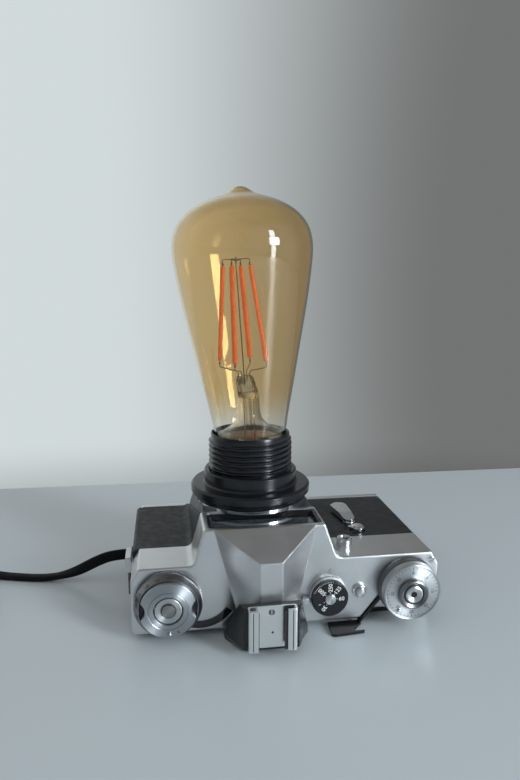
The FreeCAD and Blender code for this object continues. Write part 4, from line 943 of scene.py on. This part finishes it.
def shoe():
    """The shoe, its lips drawn in a little at both ends, with dark strips under the lips and in their creases
    as painted shade.
    """
    loop = shoe_loop()
    above_floor = SHOE_FLOOR_Y - SHOE_SHEET - 0.3
    rings = []
    for z, drop in (
        (SHOE_LOW_Z, SHOE_EDGE_DROP), (SHOE_LOW_Z + SHOE_EDGE, 0.0),
        (SHOE_HIGH_Z - SHOE_EDGE, 0.0), (SHOE_HIGH_Z, SHOE_EDGE_DROP),
    ):
        rings.append([Vector((p.x, p.y + (drop if p.y < above_floor else 0.0), z)) for p in loop])
    made = made_of("shoe_folded", [lofted(rings)], lens_frame(), "camera", "bright_chrome", SHOE_METAL)
    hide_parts("accessory_shoe")
    # Dark strips under the lips and in the lips' creases: painted shade.
    shade_strips = []
    for x_low, x_high, y_low, y_high in (
        (SHOE_LEFT + 0.8, SHOE_LEFT + SHOE_LIP + 0.4, 0.72, 1.0),
        (SHOE_RIGHT - SHOE_LIP - 1.3, SHOE_RIGHT - 0.8, 0.72, 1.0),
        (SHOE_LEFT + 1.75, SHOE_LEFT + 2.05, 0.2, 0.5),
        (SHOE_RIGHT - 2.05, SHOE_RIGHT - 1.75, 0.2, 0.5),
    ):
        outline = rectangle(x_low, x_high, SHOE_TOP_Y + y_low, SHOE_TOP_Y + y_high)
        shade_strips.append(plate(outline, SHOE_LOW_Z + 0.4, SHOE_HIGH_Z - 0.9, 0.05))
    made_of("shoe_painted_shade", shade_strips, lens_frame(), "camera", "black_lacquer", DARK_PAINT)


# The left dial: the ring with its scale, the disc and the crank's knob. Heights are from the plate.

POINTS_PER_RIDGE = 4
RING_RIDGES = 130
BAND_FOOT = (14.15, 3.6)
BAND_HEAD = (12.95, 5.85)
BAND_IN = BAND_FOOT[0] - BAND_HEAD[0]
BAND_UP = BAND_HEAD[1] - BAND_FOOT[1]
SCALE_FROM = 66
SCALE_STEP = 7.0
SCALE_FIGURES = ("12", "25", "50", "100", "200", "400", "800")
DISC_R = 12.05
DISC_SIDES = 288
SCOOP_R = 5.1
SCOOP_X = 14.8
CONE_R = 8.6
CONE_SLOPE = math.radians(6)
SCOOPED_FROM_R = 9.5
SLOPES_FROM_R = 9.0
SLOPES_FROM_HEIGHT = 6.0
KNOB_FLOOR_R = 3.05
KNOB_SIDES = 48
STUD_STEP = 0.7808
STUD_FOOT = STUD_STEP * 0.40
STUD_HEAD = STUD_FOOT * 0.8
STUD_TURN = math.radians(33)


def milled(profile, ridges):
    return turned(profile, ridges * POINTS_PER_RIDGE, ridges)


def on_band(angle, share, turn=0.0):
    """A place on the ring's sloping band, at a share of the way up it."""
    radius, height = BAND_FOOT[0] - BAND_IN * share, BAND_FOOT[1] + BAND_UP * share
    return on_dial(radius + 0.02, angle, height, turn, math.degrees(math.atan2(BAND_UP, BAND_IN)))


def meter_ring():
    place = dial_frame("meter_ring")
    profile = [
        (4.4, 0.25), (14.2, 0.25), (14.5, 0.4, 0.2), (14.6, 0.6, 0.32), (14.6, 2.8, 0.32), (14.5, 3.0, 0.2),
        (14.3, 3.15), (14.25, 3.4), BAND_FOOT, BAND_HEAD, (12.8, 6.0), (12.5, 6.0), (12.35, 5.9),
        (12.35, 4.6), (4.4, 4.6),
    ]
    parts = [milled(profile, RING_RIDGES)]
    made = made_of("meter_ring_milled", parts, place, "meter_ring", "satin_chrome", SHADED_RING_METAL, sharp=35)
    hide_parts("meter_ring")
    marks = []
    for i in range(3 * len(SCALE_FIGURES)):
        low, high = 0.10, 0.42 if i % 3 == 0 else 0.28
        line = mark(math.hypot(BAND_IN, BAND_UP) * (high - low), 0.2)
        marks.append(moved(line, on_band(SCALE_FROM + SCALE_STEP * i, (low + high) / 2)))
    for i, text in enumerate(SCALE_FIGURES):
        angle = SCALE_FROM + SCALE_STEP * 3 * (len(SCALE_FIGURES) - 1 - i)
        marks.append(moved(figure(text, 1.1), on_band(angle, 0.68, -90)))
    made_of("meter_ring_scale", marks, place, "meter_ring", "black_lacquer", DARK_PAINT, sharp=20)


def scooped(angle):
    """The disc's outer radius at an angle, less where a finger's scoop is cut into it."""
    across = SCOOP_X * abs(math.sin(angle))
    if across >= SCOOP_R:
        return DISC_R
    return min(DISC_R, SCOOP_X * abs(math.cos(angle)) - math.sqrt(SCOOP_R ** 2 - across ** 2))


def meter_disc():
    """The disc between the ring and the knob, a shallow cone with a scoop at each side."""
    profile = [
        (6.25, 4.75), (6.25, 7.9), (6.35, 8.02), (7.9, 8.02), (8.05, 7.92), (8.15, 7.75), (8.3, 7.72),
        (8.4, 7.85), (CONE_R, 7.98), (9.4, 7.9), (DISC_R - 0.5, 7.9), (DISC_R - 0.15, 7.9), (DISC_R, 7.6),
        (DISC_R, 5.4), (DISC_R, 4.75),
    ]
    rings = []
    for radius, height in profile:
        points = []
        for angle in angles_round(DISC_SIDES):
            r = min(radius, scooped(angle) + radius - DISC_R) if radius > SCOOPED_FROM_R else radius
            slopes = radius > SLOPES_FROM_R and height > SLOPES_FROM_HEIGHT
            drop = (r - CONE_R) * math.tan(CONE_SLOPE) if slopes else 0.0
            points.append(Vector((r * math.cos(angle), r * math.sin(angle), height - drop)))
        rings.append(points)
    pin = turned([(0, 7.4), (0.85, 7.4), (0.85, 8.1), (0.7, 8.4), (0.4, 8.6), (0, 8.65)], 32)
    place = dial_frame("meter_ring")
    parts = [lofted(rings, closed=True), moved(pin, Matrix.Translation((0.2, -10.3, 0)))]
    made = made_of("meter_disc_turned", parts, place, "meter_disc", "satin_chrome", DISC_METAL, sharp=28)
    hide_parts("meter_disc")
    dot = turned([(0, 0), (0.28, 0), (0, 0.02)], 16)
    marks = [
        moved(dot, Matrix.Translation((3.9, -9.6, 7.95))),
        moved(mark(1.3, 0.22), on_dial(10.4, -66, 7.84)),
    ]
    made_of("meter_disc_marks", marks, place, "meter_disc", "black_lacquer", DARK_PAINT, sharp=20)
    # A dark ring on the floor of the ring's hollow, seen through the scoops: painted shade in the recess.
    floor = [turned([(6.0, 4.62), (12.3, 4.62), (12.3, 4.72), (6.0, 4.72)], 96)]
    made_of("meter_ring_painted_shade", floor, place, "meter_ring", "black_lacquer")


def stud(x, y):
    """One of the blunt studs that crossed grooves leave."""
    rings = []
    for half, height in ((STUD_FOOT, 7.6), (STUD_HEAD, 7.98)):
        corners = rectangle(x - half, x + half, y - half, y + half)
        rings.append([Vector((*corner, height)) for corner in corners])
    return moved(lofted(rings), Matrix.Rotation(STUD_TURN, 4, "Z"))


def rewind_top():
    """The crank's knob: fine crossed grooves in the middle of a turned face."""
    place = dial_frame("meter_ring")
    # The floor between the studs is dark paint: painted shade in the crossed grooves.
    floor_profile = ((KNOB_FLOOR_R, 6.95), (KNOB_FLOOR_R, 7.6), (0.93 * KNOB_FLOOR_R, 7.8))
    floor = [ring([r] * KNOB_SIDES, z) for r, z in floor_profile]
    made_of("crank_knob_painted_shade", [lofted(floor)], place, "rewind_crank", "black_lacquer", DARK_PAINT, sharp=25)
    profile = [
        (1.55, -10.0), (2.6, -10.0), (2.6, 4.78), (5.5, 4.78), (5.7, 5.0), (5.7, 7.4), (5.6, 7.62),
        (5.35, 7.72), (4.6, 7.6), (3.4, 7.4), (3.3, 7.3), (3.2, 7.0), (1.55, 6.9),
    ]
    parts = [turned(profile, 96)]
    for i in range(-8, 9):
        for j in range(-8, 9):
            if math.hypot(i * STUD_STEP, j * STUD_STEP) <= KNOB_FLOOR_R * 0.86:
                parts.append(stud(i * STUD_STEP, j * STUD_STEP))
    made = made_of("crank_knob", parts, place, "rewind_crank", "bright_chrome", KNOB_METAL, sharp=25)
    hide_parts("rewind_knob")


# The right dials: the release, the wind lever's hub and arm, the counter and the speeds.

HUB_RIDGES = 120
ARM_FOOT = Vector((43.4, 2.3))
ARM_HEAD = Vector((53.4, 14.6))
ARM_OUTLINE = [(-0.2, 0.45), (15.6, 0.45), (17.2, 0.8), (17.2, 1.9), (15.4, 1.55), (-0.2, 1.55)]
COUNTER_Z = 8.0
SPEED_Z = 4.95
SPEED_ANGLES = {"60": 0, "125": 52, "250": 91, "500": 137, "30": 237}
PLAIN_SPEED_ANGLE = 205


def release_hole_shade():
    """A dark disc at the bottom of the threaded hole in the release button: painted shade in the hole."""
    top = (PLATE_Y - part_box("release_button")[0].y) / MM
    low = turned([(0, top - 1.0), (1.35, top - 1.0), (1.35, top - 0.5), (0, top - 0.55)], 32)
    made_of("release_hole_shade", [low], dial_frame("release_collar"), "release", "black_lacquer")


def wind_parts():
    """The milled hub, and the arm as an outline along its own line, by distance and offset."""
    profile = [
        (6.76, 0.3), (13.2, 0.3), (13.45, 0.5, 0.2), (13.5, 0.7, 0.34), (13.5, 3.7, 0.34), (13.4, 4.1, 0.2),
        (13.2, 4.3), (6.76, 4.3),
    ]
    parts = [milled(profile, HUB_RIDGES)]
    place = dial_frame("release_collar")
    hub = made_of("wind_hub", parts, place, "wind_lever", "satin_chrome", SHADED_RING_METAL, sharp=35)
    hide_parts("wind_lever")
    along = (ARM_HEAD - ARM_FOOT).normalized()
    out = Vector((along.y, -along.x))
    outline = [tuple(ARM_FOOT + along * distance + out * offset) for distance, offset in ARM_OUTLINE]
    arm = [plate(outline, -6.6, 1.0, 0.25)]
    made_of("wind_arm", arm, plate_frame(LENS.x, 0), "wind_lever", "black_lacquer", sharp=35)


def counter_face():
    place = dial_frame("release_collar")
    profile = [
        (6.76, 4.4), (12.8, 4.4), (13.05, 4.6), (13.15, 4.9), (13.15, 7.3), (13.05, 7.75), (12.8, 8.1),
        (12.5, 8.3), (12.3, 8.25), (12.15, 8.1), (12.05, 8.0), (11.9, 7.98), (11.86, 7.82), (11.72, 7.82),
        (11.68, 7.98), (11.5, COUNTER_Z), (7.5, COUNTER_Z), (7.35, 8.2), (6.76, 8.2),
    ]
    pin = turned([(0, 7.9), (0.8, 7.9), (0.8, 8.6), (0.65, 8.85), (0.4, 9.0), (0, 9.02)], 32)
    parts = [turned(profile, 192), moved(pin, Matrix.Translation((-6.0, -7.9, 0)))]
    made = made_of("counter_face", parts, place, "counter", "satin_chrome", DIAL_METAL, sharp=25)
    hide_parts("counter_dial")
    marks = ring_of_marks([90 - 9 * i for i in range(40)], 11.55, 10.7, 0.17, COUNTER_Z)
    marks += ring_of_marks([90 - 45 * i for i in range(8)], 11.55, 10.3, 0.24, COUNTER_Z)
    for i in range(8):
        marks.append(moved(figure(str(5 * i), 1.4), on_dial(9.15, 90 - 45 * i, COUNTER_Z, -90)))
    made_of("counter_scale", marks, place, "counter", "black_lacquer", DARK_PAINT, sharp=20)


def speed_face():
    place = dial_frame("speed_dial")
    marks = []
    for text, angle in SPEED_ANGLES.items():
        radius = 5.25 if len(text) == 3 else 5.0
        marks.append(moved(figure(text, 1.8), on_dial(radius, angle, SPEED_Z)))
    dot = turned([(0, -0.05), (0.2, -0.05), (0.2, 0.04), (0, 0.05)], 12)
    for angle in sorted([*SPEED_ANGLES.values(), PLAIN_SPEED_ANGLE]):
        marks.append(moved(dot, on_dial(3.0, angle, SPEED_Z)))
    marks.append(moved(mark(1.0, 0.2), on_dial(5.2, PLAIN_SPEED_ANGLE, SPEED_Z)))
    marks += ring_of_marks([82 + 5.2 * i for i in range(15)], 8.0, 7.55, 0.13, 4.93)
    made_of("speed_figures", marks, place, "speed_dial", "black_lacquer", WHITE_PAINT, sharp=20)
    hub = [turned([(0, 4.7), (2.4, 4.7), (2.4, 5.35), (2.3, 5.6), (2.05, 5.78), (0, 5.85)], 64)]
    made_of("speed_hub", hub, place, "speed_dial", "bright_chrome", KNOB_METAL)
    turn = Matrix.Rotation(math.radians(68), 4, "Z")
    line = [moved(mark(1.9, 0.24), Matrix.Translation((0.65, 11.0, 0.0)) @ turn)]
    made_of("speed_index", line, place, "camera", "black_lacquer", DARK_PAINT, sharp=20)


flex()
bulb_glass()
bulb_stem()
bulb_inside()
lampholder_shell()
shoe()
release_hole_shade()
meter_ring()
meter_disc()
rewind_top()
wind_parts()
counter_face()
speed_face()


# Table, room, lights and camera.

TABLE = (0.445, 0.495, 0.522)
TABLE_SIDE = 1.2
TABLE_FRONT_Y = -1.4
TABLE_REAR_LEFT_Y = 0.201
TABLE_REAR_RIGHT_Y = 0.170
TABLE_THICK = 0.03
WALL_LEFT = (0.64, 0.70, 0.71)
WALL_RIGHT = (0.172, 0.174, 0.174)
WALL_FOOT = (0.66, 0.67, 0.67)
CEILING = (0.15, 0.155, 0.16)
CEILING_LEFT = (0.40, 0.39, 0.36)
FRONT_LEFT = (0.16, 0.20, 0.23)
FRONT_RIGHT = (0.46, 0.57, 0.66)
FILL = 0.50
FILL_COLOUR = (0.96, 0.98, 1.0, 1)


def table_top():
    corners = [
        (-TABLE_SIDE, TABLE_FRONT_Y), (TABLE_SIDE, TABLE_FRONT_Y),
        (TABLE_SIDE, TABLE_REAR_RIGHT_Y), (-TABLE_SIDE, TABLE_REAR_LEFT_Y),
    ]
    points = [(x, y, z) for z in (0.0, -TABLE_THICK) for x, y in corners]
    faces = [(0, 1, 2, 3), (7, 6, 5, 4), (0, 4, 5, 1), (1, 5, 6, 2), (2, 6, 7, 3), (3, 7, 4, 0)]
    mesh = mesh_from("table_top", points, faces)
    made = bpy.data.objects.new("table_top", mesh)
    bpy.context.scene.collection.objects.link(made)
    mesh.materials.append(Shader("table", TABLE, 0.30).mottle(5, 0.985, 1.01).material)


def world():
    """A room, pale to the left and dark to the right and overhead, its walls a little darker at the foot.

    The side behind the camera is bluish and lighter to the right.
    """
    made = bpy.data.worlds.new("room")
    made.use_nodes = True
    room = Nodes(made.node_tree)
    room.tree.nodes.clear()
    way = room.node("ShaderNodeSeparateXYZ")
    room.link(room.node("ShaderNodeTexCoord").outputs["Generated"], way.inputs["Vector"])

    def between(axis, start, end, first, second):
        """The first colour up to a start along an axis, easing into the second at its end."""
        share = room.ranged(way.outputs[axis], 0.0, 1.0, start, end, "SMOOTHSTEP")
        return room.mixed(share, first, second)

    walls = between("X", -0.10, 0.42, WALL_LEFT, WALL_RIGHT)
    foot = between("Z", -0.24, -0.33, (1, 1, 1), WALL_FOOT)
    walls = room.mixed(1.0, walls, foot, "MULTIPLY")
    front = between("X", -0.15, 0.55, FRONT_LEFT, FRONT_RIGHT)
    walls = between("Y", 0.25, -0.35, walls, front)
    ceiling = between("X", -0.9, 0.1, CEILING_LEFT, CEILING)
    seen_colour = between("Z", 0.42, 0.85, walls, ceiling)

    light = room.node("ShaderNodeBackground")
    room.set(light, {"Color": FILL_COLOUR, "Strength": FILL})
    seen = room.node("ShaderNodeBackground")
    room.set(seen, {"Strength": 1.0})
    room.link(seen_colour, seen.inputs["Color"])
    rays = room.node("ShaderNodeLightPath")
    shows = rays.outputs["Is Camera Ray"]
    for kind in ("Is Glossy Ray", "Is Transmission Ray"):
        either = room.node("ShaderNodeMath", operation="MAXIMUM")
        room.link(shows, either.inputs[0])
        room.link(rays.outputs[kind], either.inputs[1])
        shows = either.outputs[0]
    mix = room.node("ShaderNodeMixShader")
    room.link(shows, mix.inputs["Fac"])
    room.link(light.outputs[0], mix.inputs[1])
    room.link(seen.outputs[0], mix.inputs[2])
    room.link(mix.outputs[0], room.node("ShaderNodeOutputWorld").inputs["Surface"])
    bpy.context.scene.world = made


def area_light(name, place, target, size, radiance, colour, glossy=True, through=True):
    """A flat light that faces its target, by its size in metres and its brightness, 1 for white."""
    data = bpy.data.lights.new(name, "AREA")
    data.shape = "RECTANGLE"
    data.size, data.size_y = size
    data.energy = radiance * math.pi * size[0] * size[1]
    data.color = colour
    made = bpy.data.objects.new(name, data)
    made.location = place
    made.rotation_euler = (Vector(target) - Vector(place)).to_track_quat("-Z", "Y").to_euler()
    made.visible_glossy = glossy
    made.visible_transmission = glossy and through
    bpy.context.scene.collection.objects.link(made)


def lights():
    """A tall window at the front right with a brighter pane in it, and the room's own soft light."""
    window = (0.84, 0.93, 1.0)
    area_light("window_light", (0.78, -0.86, 0.28), (0, 0, 0.08), (0.16, 1.10), 20.0, window, through=False)
    area_light("window_top", (0.80, -0.82, 0.40), (0, 0, 0.12), (0.34, 0.24), 24.0, (0.90, 0.96, 1.0))
    area_light("room_light", (-0.7, -0.5, 0.9), (0, 0, 0), (1.2, 1.2), 0.5, (1.0, 0.99, 0.95), glossy=False)


CAMERA_PLACE = (-39.88, -296.54, 155.04)
CAMERA_YAW = math.radians(8.55)
CAMERA_PITCH = math.radians(10.17)
CAMERA_ROLL = math.radians(0.14)
CAMERA_LENS = 29.63
CAMERA_SENSOR = 36.0


def camera():
    data = bpy.data.cameras.new("camera_view")
    data.lens = CAMERA_LENS
    data.sensor_width = CAMERA_SENSOR
    data.clip_start, data.clip_end = 0.01, 20.0
    level = math.cos(CAMERA_PITCH)
    forward = Vector((math.sin(CAMERA_YAW) * level, math.cos(CAMERA_YAW) * level, -math.sin(CAMERA_PITCH)))
    right = Vector((math.cos(CAMERA_YAW), -math.sin(CAMERA_YAW), 0))
    up = right.cross(forward)
    cos, sin = math.cos(CAMERA_ROLL), math.sin(CAMERA_ROLL)
    right, up = right * cos + up * sin, up * cos - right * sin
    made = bpy.data.objects.new("camera_view", data)
    axes = Matrix((right, up, -forward)).transposed().to_4x4()
    made.matrix_world = Matrix.Translation(lens(*CAMERA_PLACE)) @ axes
    bpy.context.scene.collection.objects.link(made)
    bpy.context.scene.camera = made


table_top()
world()
lights()
camera()
bpy.context.scene.view_settings.view_transform = "Standard"
